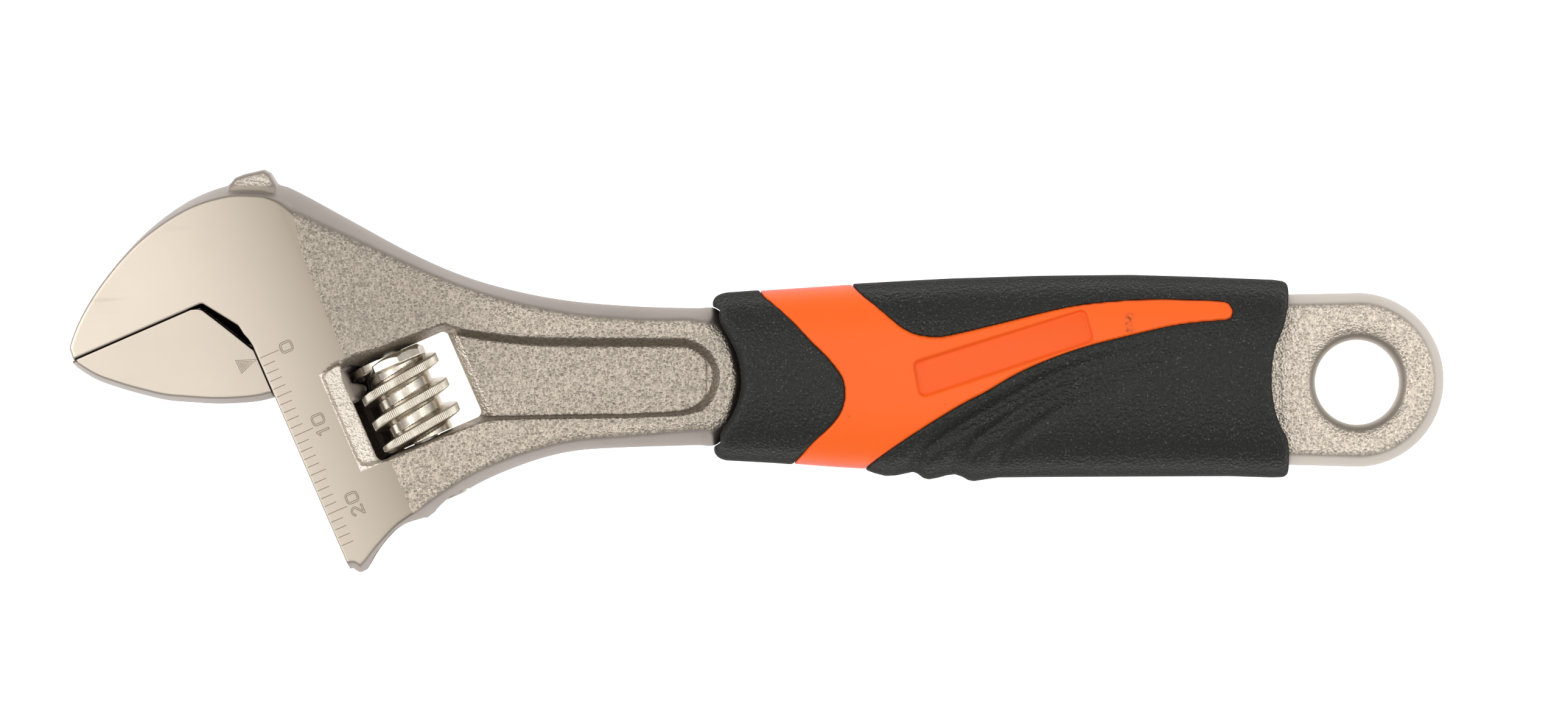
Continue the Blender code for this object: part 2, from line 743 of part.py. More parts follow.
def make_grip(orange, black):
    low, high = MIDDLE - 12, MIDDLE + 12
    ends = add_object("grip_ends", prism(grip_ends(), low, high))
    tang_room = add_object(
        "tang_room",
        box(
            (-8, TANG_Y[0] - GAP, MIDDLE - TANG_HALF - GAP),
            (66, TANG_Y[1] + GAP, MIDDLE + TANG_HALF + GAP),
        ),
    )
    end_plan = [
        (-14.0, 8.0),
        (-6.8, 7.9),
        (-4.4, 7.2),
        (-2.1, 4.1),
        (-0.95, -0.8),
        (-2.0, -5.6),
        (-4.2, -8.5),
        (-14.0, -9.2),
    ]
    room_half = HANDLE_HALF + GAP
    neck_room = add_object("neck_room", prism(end_plan, MIDDLE - room_half, MIDDLE + room_half))
    eye_plan = moved_in(ring_outline(), [-GAP] * len(ring_outline()))
    eye_room = add_object("eye_room", prism(eye_plan, MIDDLE - RING_HALF - GAP, MIDDLE + RING_HALF + GAP))
    core_room = add_object("core_room", grip_blank(SLEEVE_WALL - GAP, 0.4, 59.6))

    pieces = {}
    for name, finish in (("grip_collar", black), ("grip_core", orange), ("grip_sleeve", black)):
        piece = add_object(name, grip_blank(), finish)
        plan = add_object(name + "_plan", prism(grip_plan(name.removeprefix("grip_")), low, high))
        combine(piece, "INTERSECT", ends, plan)
        pieces[name] = piece
    combine(pieces["grip_collar"], "DIFFERENCE", core_room, neck_room, tang_room)
    combine(pieces["grip_sleeve"], "DIFFERENCE", core_room, tang_room, eye_room)
    plaque = add_object("plaque", prism(plaque_outline(), low, high))
    combine(plaque, "DIFFERENCE", add_object("plaque_floor", grip_blank(PLAQUE_DEPTH)))
    combine(pieces["grip_core"], "DIFFERENCE", plaque)
    inner = add_object("core_inner", grip_blank(SLEEVE_WALL, 0.7, 59.3))
    combine(pieces["grip_core"], "UNION", inner)
    combine(pieces["grip_core"], "DIFFERENCE", tang_room)


def main():
    for old in list(bpy.data.objects):
        bpy.data.objects.remove(old, do_unlink=True)
    nickel = material("satin_nickel", (0.62, 0.58, 0.52), 0.34, 1.0)
    polished = material("polished_nickel", (0.66, 0.63, 0.58), 0.2, 1.0)
    steel = material("plain_steel", (0.5, 0.5, 0.5), 0.35, 1.0)
    orange = material("orange_plastic", (0.95, 0.16, 0.03), 0.38)
    black = material("black_soft_grip", (0.025, 0.024, 0.024), 0.6)

    head = frame("head_frame", (*HEAD_ORIGIN, MIDDLE), HEAD_ANGLE - 90)
    make_body(nickel)
    make_jaw(nickel, head)
    make_worm(polished, head)
    make_pin(steel, head)
    make_spring(steel, head)
    make_grip(orange, black)
    bpy.context.view_layer.update()


main()
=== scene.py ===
"""The finished look of the adjustable wrench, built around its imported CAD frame.

The big pieces are solids given by distance fields: a field says how far each point of a fine grid is
from the surface, negative inside, and OpenVDB turns its zero level into a mesh. Edges are rounded by
smooth_max.

Lengths are in millimetres and heights (s) are measured from the wrench's middle plane, until a mesh is
made. x and y are the CAD frame's. The tilted head has its own plan frame: u is the way the jaw opens and
v runs from the scale's edge back to the handle.
"""

import math

import bpy
import numpy as np
import openvdb
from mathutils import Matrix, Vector


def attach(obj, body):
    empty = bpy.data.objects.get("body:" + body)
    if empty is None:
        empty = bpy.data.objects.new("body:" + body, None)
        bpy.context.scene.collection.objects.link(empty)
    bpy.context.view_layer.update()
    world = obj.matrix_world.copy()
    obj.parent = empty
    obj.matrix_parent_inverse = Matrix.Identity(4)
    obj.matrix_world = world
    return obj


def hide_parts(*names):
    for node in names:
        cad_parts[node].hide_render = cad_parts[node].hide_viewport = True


MM = 0.001
MIDDLE = 7.4
CELL = 0.16  # grid spacing of the large pieces

# Head frame
HEAD_ANGLE = math.radians(23.5)
HEAD_ORIGIN = (-58.56, 1.51)
U_DIRECTION = (math.sin(HEAD_ANGLE), -math.cos(HEAD_ANGLE))
V_DIRECTION = (math.cos(HEAD_ANGLE), math.sin(HEAD_ANGLE))

# Half thicknesses
HEAD_HALF, HANDLE_HALF, WEB_HALF, TANG_HALF, RING_HALF, JAW_HALF = 5.5, 4.0, 2.3, 2.6, 3.6, 5.5

# Places in the head frame
CLAMP_PLANE = -8.6
GROUND_EDGE, TAPER_END = 9.3, 26.0
ROD_V, ROD_R, BORE_R = 5.75, 4.35, 4.65
ROD_START, ROD_END, BORE_START = -14.2, 9.2, -15.0
SLOT_HALF, SLOT_START, NECK_HALF = 2.4, -1.95, 2.1
WINDOW_U, WINDOW_V = (5.6, 16.5), (7.6, 21.45)
WORM_V, WORM_START, WORM_END = 14.15, 5.68, 16.4
PITCH, CREST_R, CORE_R, CREST_AT_RACK = 3.14, 5.1, 3.5, 9.62
PIN_R, PIN_HEAD_R, PIN_START, PIN_END, PIN_HEAD_START = 1.5, 2.1, 2.4, 24.0, 18.6
SPRING_R, SPRING_WIRE_R = 2.25, 0.22

# Handle end and grip
RING_CENTRE, RING_R = (70.6, -0.95), 10.26
RING_BACK = 59.7
HOLE_CENTRE, HOLE_R = (70.62, -1.24), 5.0
TANG_X, TANG_Y = (-6.0, 64.0), (-6.6, 5.0)
GRIP_MIDDLE_Y = -0.75
SLEEVE_WALL, CORE_START, CORE_END = 1.9, 0.7, 59.3
CLEARANCE = 0.3

# Looks: extra width of the ledge beside the window, seams and edges of the grip, and the etched marks
LEDGE_EXTRA = 0.6
SEAM_GAP, SEAM_ROUNDING = 0.03, 0.35
SEAM_OVERLAP, SEAM_DEPTH = 0.85, 0.46
GROOVE_WIDTH, PLAQUE_ROUNDING = 0.8, 0.8
MARK_SUNK, MARK_PROUD = 0.03, 0.008
TICK_WIDTH, DIGIT_WIDTH, POINTER_WIDTH = 0.085, 0.09, 0.075


# ---------------------------------------------------------------- plans and fields


def head_xy(u, v):
    return (
        HEAD_ORIGIN[0] + u * U_DIRECTION[0] + v * V_DIRECTION[0],
        HEAD_ORIGIN[1] + u * U_DIRECTION[1] + v * V_DIRECTION[1],
    )


def head_uv(x, y):
    dx, dy = x - HEAD_ORIGIN[0], y - HEAD_ORIGIN[1]
    return dx * U_DIRECTION[0] + dy * U_DIRECTION[1], dx * V_DIRECTION[0] + dy * V_DIRECTION[1]


def smooth_curve(points, steps=6):
    """Points of a Catmull-Rom curve through the given points, ends included."""
    padded = [points[0], *points, points[-1]]
    curve = []
    for a, b, c, d in zip(padded, padded[1:], padded[2:], padded[3:]):
        for step in range(steps):
            t = step / steps
            weights = (
                -t / 2 + t * t - t**3 / 2,
                1 - 2.5 * t * t + 1.5 * t**3,
                t / 2 + 2 * t * t - 1.5 * t**3,
                -t * t / 2 + t**3 / 2,
            )
            curve.append(tuple(sum(w * p[i] for w, p in zip(weights, (a, b, c, d))) for i in (0, 1)))
    return [*curve, tuple(points[-1])]


def arc(centre, radius, start, end, steps):
    """Points on an arc, ends included; angles are in degrees from +x towards +y."""
    turns = [math.radians(start + (end - start) * i / steps) for i in range(steps + 1)]
    return [(centre[0] + radius * math.cos(t), centre[1] + radius * math.sin(t)) for t in turns]


def path_distance(x, y, points):
    """Distance from each grid point to an open path."""
    best = np.full(np.broadcast(x, y).shape, 1e9, np.float32)
    for (ax, ay), (bx, by) in zip(points, points[1:]):
        ex, ey = bx - ax, by - ay
        if ex == ey == 0:
            continue
        along = np.clip(((x - ax) * ex + (y - ay) * ey) / (ex * ex + ey * ey), 0, 1)
        best = np.minimum(best, (x - ax - along * ex) ** 2 + (y - ay - along * ey) ** 2)
    return np.sqrt(best)


def outline_distance(x, y, points):
    """Distance from each grid point to a closed outline, negative inside it."""
    inside = np.zeros(np.broadcast(x, y).shape, bool)
    for (ax, ay), (bx, by) in zip(points, [*points[1:], points[0]]):
        if ay != by:
            inside ^= ((ay > y) != (by > y)) & (x < (bx - ax) * (y - ay) / (by - ay) + ax)
    return np.where(inside, -1, 1) * path_distance(x, y, [*points, points[0]])


def box_distance(across, ranges, radius=0.0):
    """Distance to a box whose sides are the given ranges of the given coordinates."""
    outside, inside = 0.0, -1e9
    for value, (low, high) in zip(across, ranges):
        beyond = np.abs(value - (low + high) / 2) - (high - low) / 2 + radius
        outside = outside + np.maximum(beyond, 0) ** 2
        inside = np.maximum(inside, beyond)
    return np.sqrt(outside) + np.minimum(inside, 0) - radius


def smooth_max(a, b, radius):
    """The larger of two fields, with the edge between them rounded."""
    overlap = np.maximum(radius - np.abs(a - b), 0)
    return np.maximum(a, b) + overlap * overlap / (4 * radius)


def smooth_min(a, b, radius):
    return -smooth_max(-a, -b, radius)


def smooth_step(value, low, high):
    t = np.clip((value - low) / (high - low), 0, 1)
    return t * t * (3 - 2 * t)


def table(x, rows):
    """Value at x of a table of (x, value) rows, with straight lines between them."""
    return np.interp(x, [row[0] for row in rows], [row[1] for row in rows]).astype(np.float32)


class Grid:
    """Sample points of a box. A grid with no lowest height is mirrored about the middle plane."""

    def __init__(self, x_range, y_range, s_top, cell, s_low=None):
        self.cell = cell
        self.mirrored = s_low is None
        self.low = (x_range[0], y_range[0], 0.0 if self.mirrored else s_low)
        spans = (x_range, y_range, (self.low[2], s_top))
        self.x, self.y, self.s = np.meshgrid(
            *[np.arange(low, high + cell, cell, dtype=np.float32) for low, high in spans],
            indexing="ij",
            sparse=True,
        )
        self.x, self.y = np.broadcast_arrays(self.x, self.y)


def height_field(top, grid):
    """Field of what lies under a surface whose height at each plan point is top."""
    slope_x, slope_y = np.gradient(top[:, :, 0], grid.cell)
    steepness = np.sqrt(1 + slope_x**2 + slope_y**2)[:, :, None]
    return (grid.s - top) / steepness


# ---------------------------------------------------------------- objects


def finish_mesh(piece, body, finish, nodes=()):
    piece.data.materials.append(finish)
    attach(piece, body)
    if nodes:
        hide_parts(*nodes)
    return piece


def new_object(name, points, faces, smooth_angle=None):
    """A mesh object from points in millimetres, with s in place of z."""
    points = np.asarray(points, np.float64) * MM
    points[:, 2] += MIDDLE * MM
    mesh = bpy.data.meshes.new(name)
    mesh.from_pydata(points, [], faces)
    mesh.validate()
    mesh.shade_smooth()
    if smooth_angle is not None:
        mesh.set_sharp_from_angle(angle=math.radians(smooth_angle))
    piece = bpy.data.objects.new(name, mesh)
    bpy.context.scene.collection.objects.link(piece)
    return piece


def sampled(values, points):
    """Values of a 3-D array between its cells."""
    base = np.clip(points.astype(int), 0, np.array(values.shape) - 2)
    share = points - base
    total = 0.0
    for corner in np.ndindex(2, 2, 2):
        weight = np.prod(np.where(corner, share, 1 - share), axis=1)
        i, j, k = (base + corner).T
        total = total + weight * values[i, j, k]
    return total


def solid(name, field, grid, to_plan=None, below=None):
    """The mesh of a field's zero level, with normals taken from the field itself."""
    field = np.broadcast_to(field, (*grid.x.shape[:2], grid.s.shape[2])).astype(np.float32)
    low_s = grid.low[2]
    if grid.mirrored:
        low_s = -(field.shape[2] - 1) * grid.cell
        field = np.concatenate((field[:, :, :0:-1], field), axis=2)
    if below:
        block, extra = below(grid)
        field[block] = smooth_min(field[block], extra, 0.25)
    limit = 4 * grid.cell
    field = np.clip(field, -limit, limit)
    volume = openvdb.FloatGrid(background=limit)
    volume.copyFromArray(field)
    cells, quads = volume.convertToQuads(0.0)
    normals = np.stack([sampled(slope, cells) for slope in np.gradient(field)], axis=1)
    normals /= np.maximum(np.linalg.norm(normals, axis=1, keepdims=True), 1e-6)
    points = cells * grid.cell + (grid.low[0], grid.low[1], low_s)
    if to_plan:
        points[:, 0], points[:, 1] = to_plan(points[:, 0], points[:, 1])
        normals[:, 0], normals[:, 1] = (
            normals[:, 0] * U_DIRECTION[0] + normals[:, 1] * V_DIRECTION[0],
            normals[:, 0] * U_DIRECTION[1] + normals[:, 1] * V_DIRECTION[1],
        )
    piece = new_object(name, points, quads.tolist())
    if len(piece.data.vertices) == len(normals):
        piece.data.normals_split_custom_set_from_vertices(normals)
    return piece


def turned(profile, steps, start_u, v):
    """Points and faces of a solid turned about a line along u; profile is (radius, u)."""
    points, faces = [], []
    for radius, along in profile:
        for step in range(steps):
            angle = math.tau * step / steps
            x, y = head_xy(start_u + along, v + radius * math.cos(angle))
            points.append((x, y, radius * math.sin(angle)))
    for ring in range(len(profile) - 1):
        for step in range(steps):
            near, far = ring * steps, (ring + 1) * steps
            after = (step + 1) % steps
            faces.append((near + step, near + after, far + after, far + step))
    faces.append(tuple(range(steps))[::-1])
    faces.append(tuple(range((len(profile) - 1) * steps, len(profile) * steps)))
    return points, faces


# ---------------------------------------------------------------- forging

CROWN = (
    (-79.3, -0.5), (-80.3, 1.0), (-80.75, 2.1), (-80.86, 3.3), (-79.4, 6.85), (-76.6, 11.2),
    (-72.3, 16.1), (-67.5, 19.8), (-63.0, 21.75), (-59.3, 22.2), (-56.0, 21.95), (-53.5, 20.9),
    (-48.0, 17.9), (-41.0, 14.1), (-35.0, 11.45), (-29.0, 9.65), (-22.0, 8.35), (-14.0, 7.7),
    (-6.8, 7.5),
)
HANDLE_NOSE = (
    (-6.8, 7.5), (-5.0, 7.5), (-3.6, 6.2), (-2.4, 3.9), (-1.3, -0.8), (-2.3, -5.4), (-3.6, -7.4),
    (-5.0, -8.65), (-6.8, -8.65),
)
BELLY = (
    (-6.8, -8.65), (-15.1, -8.9), (-20.9, -9.25), (-25.1, -10.1), (-29.4, -11.6), (-33.0, -13.25),
    (-36.6, -15.5), (-39.4, -17.6), (-41.6, -19.1), (-43.7, -21.2), (-45.2, -22.95), (-46.1, -23.75),
    (-46.9, -23.85), (-47.6, -23.4),
)
BEHIND_THE_JAW = ((-49.5, -24.5), (-52.0, -32.0), (-72.0, -25.0))

# How far the drafted side shows beyond the face, by x, along the crown and along the belly
CROWN_BAND = (
    (-79.0, 0.3), (-75.0, 0.3), (-73.0, 0.38), (-71.0, 0.55), (-66.7, 0.9), (-62.9, 1.25), (-58.0, 1.6),
    (-54.5, 2.4), (-50.9, 2.15), (-45.3, 1.57), (-41.5, 1.3), (-37.0, 1.2), (-33.0, 1.28), (-26.0, 1.5),
    (-20.0, 1.7), (-13.0, 1.7), (-8.3, 1.45), (-7.0, 1.65), (-5.5, 2.1), (-4.2, 1.5), (-3.1, 1.1),
)
BELLY_BAND = (
    (-48.0, 1.0), (-45.4, 1.15), (-42.0, 1.3), (-32.7, 1.3), (-24.7, 1.2), (-16.0, 1.35), (-12.0, 1.6),
    (-8.0, 2.0), (-6.0, 2.2), (-4.5, 1.4), (-3.7, 1.0),
)

# The space in front of the fixed jaw and along the scale, in u and v
JAW_SPACE = (
    (CLAMP_PLANE, -40.0), (CLAMP_PLANE, -3.6), (-8.5, -3.4), (-4.5, -0.6), (-3.9, -0.5), (-3.3, -0.42),
    (-2.5, -0.15), (-1.6, 0.0), (45.0, 0.0), (45.0, -40.0),
)
# The same space at the middle plane, where the throat's drafted walls come down close to the jaw
JAW_SPACE_MIDDLE = (
    (CLAMP_PLANE + 0.09, -40.0), (CLAMP_PLANE + 0.09, -4.92), (-8.315, -4.235), (-7.91, -3.73),
    (-6.307, -2.833), (-4.0, -1.582), (-1.5, -0.262), (-1.22, -0.085), (45.0, -0.085), (45.0, -40.0),
)
LUG = (
    (-62.6, 20.3), (-62.2, 22.0), (-61.5, 22.85), (-60.4, 23.3), (-58.0, 23.85), (-57.2, 23.4),
    (-56.3, 21.9), (-56.2, 20.0),
)

# The panel sunk into the handle, which opens into the worm's window
PANEL_NOSE_LIP = (
    (-8.5, 4.0), (-7.0, 3.5), (-5.4, 2.3), (-4.45, 0.6), (-4.3, -1.0), (-4.9, -3.0), (-6.3, -4.6),
)
PANEL_NOSE_FLOOR = (
    (-8.4, 2.8), (-6.8, 1.95), (-5.9, 0.6), (-5.7, -0.9), (-6.2, -2.5), (-7.2, -3.8), (-8.6, -4.5),
)
PANEL_LIP_ABOVE = ((-36.65, 5.8), (-34.6, 5.1), (-31.7, 4.72), (-28.0, 4.25), (-23.6, 4.1))
PANEL_LIP_BELOW = ((-8.5, -5.1), (-15.0, -5.4), (-23.6, -5.5), (-30.6, -5.65))
PANEL_FLOOR_ABOVE = ((-36.3, 4.55), (-34.6, 4.1), (-31.3, 3.55), (-28.0, 3.15), (-23.6, 2.9))
PANEL_FLOOR_BELOW = ((-10.5, -4.75), (-15.0, -4.95), (-23.6, -5.05), (-31.2, -5.2))
WINDOW_LIP_HEAD = (
    (17.3, 21.0), (17.1, 16.0), (17.0, 9.0), (16.6, 7.7), (5.5, 7.6), (4.5, 7.7), (4.0, 9.4),
    (3.95, 10.8), (4.35, 13.8), (4.4, 16.0), (4.6, 19.0),
)
WINDOW_FLOOR_HEAD = ((16.5, 21.5), (16.4, 9.0), (15.9, 8.0), (6.2, 8.0), (5.7, 9.5), (5.65, 20.6))
LEDGE = (
    (4.5, 6.4), (4.9, 5.9), (15.4, 5.8), (16.3, 6.1), (16.75, 7.0), (16.8, 8.6), (4.0, 8.6), (4.1, 7.4),
)


def forging_plan(grid):
    """Plan distances that the forging's surfaces share."""
    x, y = grid.x, grid.y
    crown = smooth_curve(CROWN)
    nose = smooth_curve(HANDLE_NOSE)[1:-1]
    belly = smooth_curve(BELLY)
    return outline_distance(x, y, [*crown, *nose, *belly, *BEHIND_THE_JAW])


def face_height(grid, u, v):
    """Height of the forging's upper face: ground head, taper, handle, sunk panel and the window's ledge."""
    x, y = grid.x, grid.y
    taper = np.clip((v - GROUND_EDGE) / (TAPER_END - GROUND_EDGE), 0, 1)
    rim = HEAD_HALF + (HANDLE_HALF - HEAD_HALF) * taper
    lip = outline_distance(
        x,
        y,
        [
            *smooth_curve(PANEL_LIP_ABOVE),
            *smooth_curve(PANEL_NOSE_LIP),
            *PANEL_LIP_BELOW,
            *[head_xy(*point) for point in WINDOW_LIP_HEAD],
        ],
    )
    floor = outline_distance(
        x,
        y,
        [
            *smooth_curve(PANEL_FLOOR_ABOVE),
            *smooth_curve(PANEL_NOSE_FLOOR),
            *PANEL_FLOOR_BELOW,
            *[head_xy(*point) for point in WINDOW_FLOOR_HEAD],
        ],
    )
    up_wall = np.clip(floor / np.maximum(floor - lip, 1e-4), 0, 1)
    up_wall = np.where(lip >= 0, 1, np.where(floor <= 0, 0, up_wall))
    up_wall = 0.2 * up_wall + 0.8 * up_wall * up_wall * (3 - 2 * up_wall)
    web = WEB_HALF - 0.9 * (1 - smooth_step(v, WINDOW_V[1] - 0.2, WINDOW_V[1] + 1.3))
    height = web + (rim - web) * up_wall
    ledge = outline_distance(u, v, LEDGE)
    sunk = HEAD_HALF - 0.35 - 0.3 * (v - 5.8)
    return (height + (sunk - height) * smooth_step(-ledge, 0.0, 0.35)).astype(np.float32)


def side_draft(s, height, band):
    """Inset of a drafted side at each height: none at the parting line, the whole band at the face."""
    share = np.clip(s / height, 0, 1.3)
    return band * (0.3 * share + 0.7 * share * share)


def ring_field(grid):
    """The eye of the hang hole with its square shoulders, and the hole with rounded mouths."""
    eye = arc(RING_CENTRE, RING_R, -88, 88, 60)
    plan = outline_distance(grid.x, grid.y, [*eye, (RING_BACK, 9.05), (RING_BACK, -10.9)])
    band = 1.35 * smooth_step(grid.x, 60.5, 61.5)
    sides = plan + side_draft(grid.s, RING_HALF, band)
    ring = smooth_max(sides, grid.s - RING_HALF, 0.7)
    hole = np.hypot(grid.x - HOLE_CENTRE[0], grid.y - HOLE_CENTRE[1]) - HOLE_R
    return smooth_max(ring, -hole, 2.2)


def body_field(grid):
    x, y, s = grid.x, grid.y, grid.s
    u, v = head_uv(x, y)
    height = face_height(grid, u, v)
    crown_side = (y > 0) | (x < -48.5)
    band = np.where(crown_side, table(x, CROWN_BAND), table(x, BELLY_BAND))
    taper = np.clip((v - GROUND_EDGE) / (TAPER_END - GROUND_EDGE), 0, 1)
    rim = HEAD_HALF + (HANDLE_HALF - HEAD_HALF) * taper
    sides = forging_plan(grid) + side_draft(s, rim, band)
    edge = 0.22 + 0.55 * smooth_step(v, GROUND_EDGE - 1, GROUND_EDGE + 3)
    field = smooth_max(sides, height_field(height, grid), edge)

    lug_top = 4.5 - 0.18 * (y - 21.9)
    lug = smooth_max(outline_distance(x, y, LUG) + 0.2 * s / 4.6, s - lug_top, 0.8)
    field = smooth_min(field, lug, 0.3)
    tang = box_distance((x, y, s), (TANG_X, TANG_Y, (-TANG_HALF, TANG_HALF)), 0.2)
    field = np.minimum(field, tang)
    field = np.minimum(field, ring_field(grid))

    jaw_space = outline_distance(u, v, JAW_SPACE)
    closer = outline_distance(u, v, JAW_SPACE_MIDDLE) - jaw_space
    field = smooth_max(field, -jaw_space - closer * np.clip(1 - s / HEAD_HALF, 0, 1), 0.1)
    window = box_distance((u, v), (WINDOW_U, (WINDOW_V[0] + LEDGE_EXTRA, WINDOW_V[1])), 0.7)
    field = smooth_max(field, -window, 0.5)
    bore = np.maximum(np.hypot(v - ROD_V, s) - BORE_R, BORE_START - u)
    slot = box_distance((u, v, s), ((SLOT_START, 60), (-10, ROD_V), (-SLOT_HALF, SLOT_HALF)))
    field = smooth_max(field, -np.minimum(bore, slot), 0.25)
    pin_room = np.maximum(np.hypot(v - WORM_V, s) - PIN_R - 0.15, PIN_START - CLEARANCE - u)
    head_room = np.maximum(np.hypot(v - WORM_V, s) - PIN_HEAD_R - 0.12, PIN_HEAD_START - CLEARANCE - u)
    return smooth_max(field, -np.minimum(pin_room, head_room), 0.2)


def window_shade_walls(grid):
    """Low walls in the window, beneath the rod's bore and at the worm's two ends: dark walls set where only
    shade shows through the window's gaps, painted near black as shade by forging_material.

    Gives a block of the grid and the walls' field there.
    """
    columns = slice(*[int((x - grid.low[0]) / grid.cell) for x in (-54, -38)])
    rows = slice(*[int((y - grid.low[1]) / grid.cell) for y in (-16, 3)])
    layers = grid.s.shape[2] - 1
    u, v = head_uv(grid.x[columns, rows], grid.y[columns, rows])
    s = -grid.s[:, :, :0:-1]
    plate = box_distance((u, v, s), ((4.4, 17.3), (6.9, 11.2), (-5.0, -3.7)), 0.2)
    plate = np.maximum(plate, CREST_R + CLEARANCE - np.hypot(v - WORM_V, s))
    upper_lip = box_distance((u, v, s), ((4.4, 5.55), (8.0, 18.6), (-5.35, -2.6)), 0.1)
    lower_lip = box_distance((u, v, s), ((16.52, 17.6), (8.0, 18.6), (-5.35, -2.6)), 0.1)
    plate = np.minimum(plate, np.minimum(upper_lip, lower_lip))
    plate = np.maximum(plate, BORE_R - np.hypot(v - ROD_V, s))
    return (columns, rows, slice(0, layers)), plate


def make_body(finish):
    grid = Grid((-81.6, 81.6), (-24.6, 24.6), 6.1, CELL)
    piece = solid("forged_body", body_field(grid), grid, below=window_shade_walls)
    return finish_mesh(piece, "body", finish, ["wrench_body"])


# ---------------------------------------------------------------- movable jaw

JAW_GAP = 0.1
JAW_FRONT = (
    (CLAMP_PLANE + JAW_GAP, -24.0), (CLAMP_PLANE + JAW_GAP, -4.9), (-8.3, -4.25), (-7.9, -3.75),
    (-6.3, -2.85), (-4.0, -1.6), (-1.5, -0.28), (-1.2, -0.1), (8.0, -0.1), (8.0, -26.0), (-10.0, -26.0),
)
JAW_BACK = (
    (-10.5, -21.1), (-8.3, -20.4), (-7.3, -19.95), (-5.3, -18.5), (-3.35, -16.4), (-1.55, -14.2),
    (0.1, -11.95), (1.4, -9.55), (2.65, -7.1), (3.7, -4.55), (4.55, -1.9), (4.95, 0.6),
)


def jaw_field(grid):
    u, v, s = grid.x, grid.y, grid.s
    back = outline_distance(u, v, [*smooth_curve(JAW_BACK), (-8.0, 4.0), (-16.0, 4.0), (-16.0, -21.1)])
    height = np.abs(s)
    blade = smooth_max(back + side_draft(height, JAW_HALF, 0.6), height - JAW_HALF, 0.25)
    front = outline_distance(u, v, JAW_FRONT)
    blade = smooth_max(blade, front, 0.1)
    neck = box_distance((u, v, s), ((-1.3, 4.25), (-1.5, ROD_V), (-NECK_HALF, NECK_HALF)), 0.15)
    rod = smooth_max(np.hypot(v - ROD_V, s) - ROD_R, np.maximum(ROD_START - u, u - ROD_END), 0.6)
    shank = smooth_min(neck, rod, 0.25)
    groove_floor = WORM_V - CREST_R - 0.27
    slant = PITCH / (math.tau * (CREST_R - 0.5))
    for index in range(8):
        middle = CREST_AT_RACK - PITCH * index - slant * s
        half_width = 0.72 + 0.42 * np.maximum(v - groove_floor, 0)
        groove = np.maximum(np.abs(u - middle) - half_width, groove_floor - v)
        shank = smooth_max(shank, -groove, 0.3)
    return np.minimum(blade, shank)


def make_jaw(finish):
    grid = Grid((-15.0, 9.8), (-21.5, 10.6), 5.9, 0.75 * CELL, -5.9)
    piece = solid("sliding_jaw", jaw_field(grid), grid, to_plan=head_xy)
    return finish_mesh(piece, "jaw", finish, ["movable_jaw"])


# ---------------------------------------------------------------- worm, pin and spring


def worm_radius(angle, along):
    """Radius of the worm at an angle about its axis: a single thread with a knurled crest."""
    share = (along - CREST_AT_RACK) / PITCH - angle / math.tau + 0.5
    off_crest = share - np.round(share)
    crest_at = along - off_crest * PITCH
    off_crest = np.abs(off_crest)
    rise = (1 - smooth_step(off_crest, 0.13, 0.33)) ** 0.8 * smooth_step(crest_at, 5.7, 6.5)
    radius = CORE_R + (CREST_R - CORE_R) * rise
    knurl = (0.5 - 0.5 * np.cos(118 * angle)) ** 2 * smooth_step(crest_at, 6.6, 7.6)
    radius = radius - 0.13 * knurl * (1 - smooth_step(off_crest, 0.12, 0.2))
    facet = 3.8 / np.cos(np.mod(angle + 0.2, math.pi / 4) - math.pi / 8)
    collar = np.minimum(facet, 3.45 + 1.2 * (along - WORM_START))
    radius = np.maximum(radius, CORE_R + (collar - CORE_R) * (1 - smooth_step(along, 7.0, 7.2)))
    return np.minimum(radius, CREST_R - 0.6 + 1.2 * (WORM_END - along))


def make_worm(finish):
    around, rows = ((590, 168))
    angles = np.linspace(0, math.tau, around, endpoint=False)
    places = np.linspace(WORM_START, WORM_END, rows)
    angle, along = np.meshgrid(angles, places)
    radius = worm_radius(angle, along)
    bore = PIN_R + 0.25
    rings = [(np.full(around, bore), WORM_END - 0.001), (np.full(around, bore), WORM_START)]
    rings += [(np.full(around, 2.9), WORM_START), *zip(radius, places)]
    points, faces = [], []
    for ring_radius, place in rings:
        x, y = head_xy(place, WORM_V + ring_radius * np.cos(angles))
        points.append(np.stack([x, y, ring_radius * np.sin(angles)], axis=1))
    for ring in range(len(rings)):
        near, far = ring * around, (ring + 1) % len(rings) * around
        for step in range(around):
            after = (step + 1) % around
            faces.append((near + step, near + after, far + after, far + step))
    piece = new_object("knurled_worm", np.concatenate(points), faces, 48)
    return finish_mesh(piece, "worm", finish, ["worm"])


def make_pin(finish):
    length, shoulder = PIN_END - PIN_START, PIN_HEAD_START - PIN_START
    profile = (
        (0.3, 0.0), (PIN_R - 0.3, 0.0), (PIN_R - 0.09, 0.09), (PIN_R, 0.3), (PIN_R, shoulder),
        (PIN_HEAD_R, shoulder + 0.4), (PIN_HEAD_R, length - 0.3), (PIN_HEAD_R - 0.09, length - 0.09),
        (PIN_HEAD_R - 0.3, length), (1.2, length), (1.05, length - 0.15), (0.9, length - 0.9),
        (0.3, length - 1.0),
    )
    piece = new_object("screw_pin", *turned(profile, 64, PIN_START, WORM_V), 35)
    return finish_mesh(piece, "body", finish, ["worm_pin"])


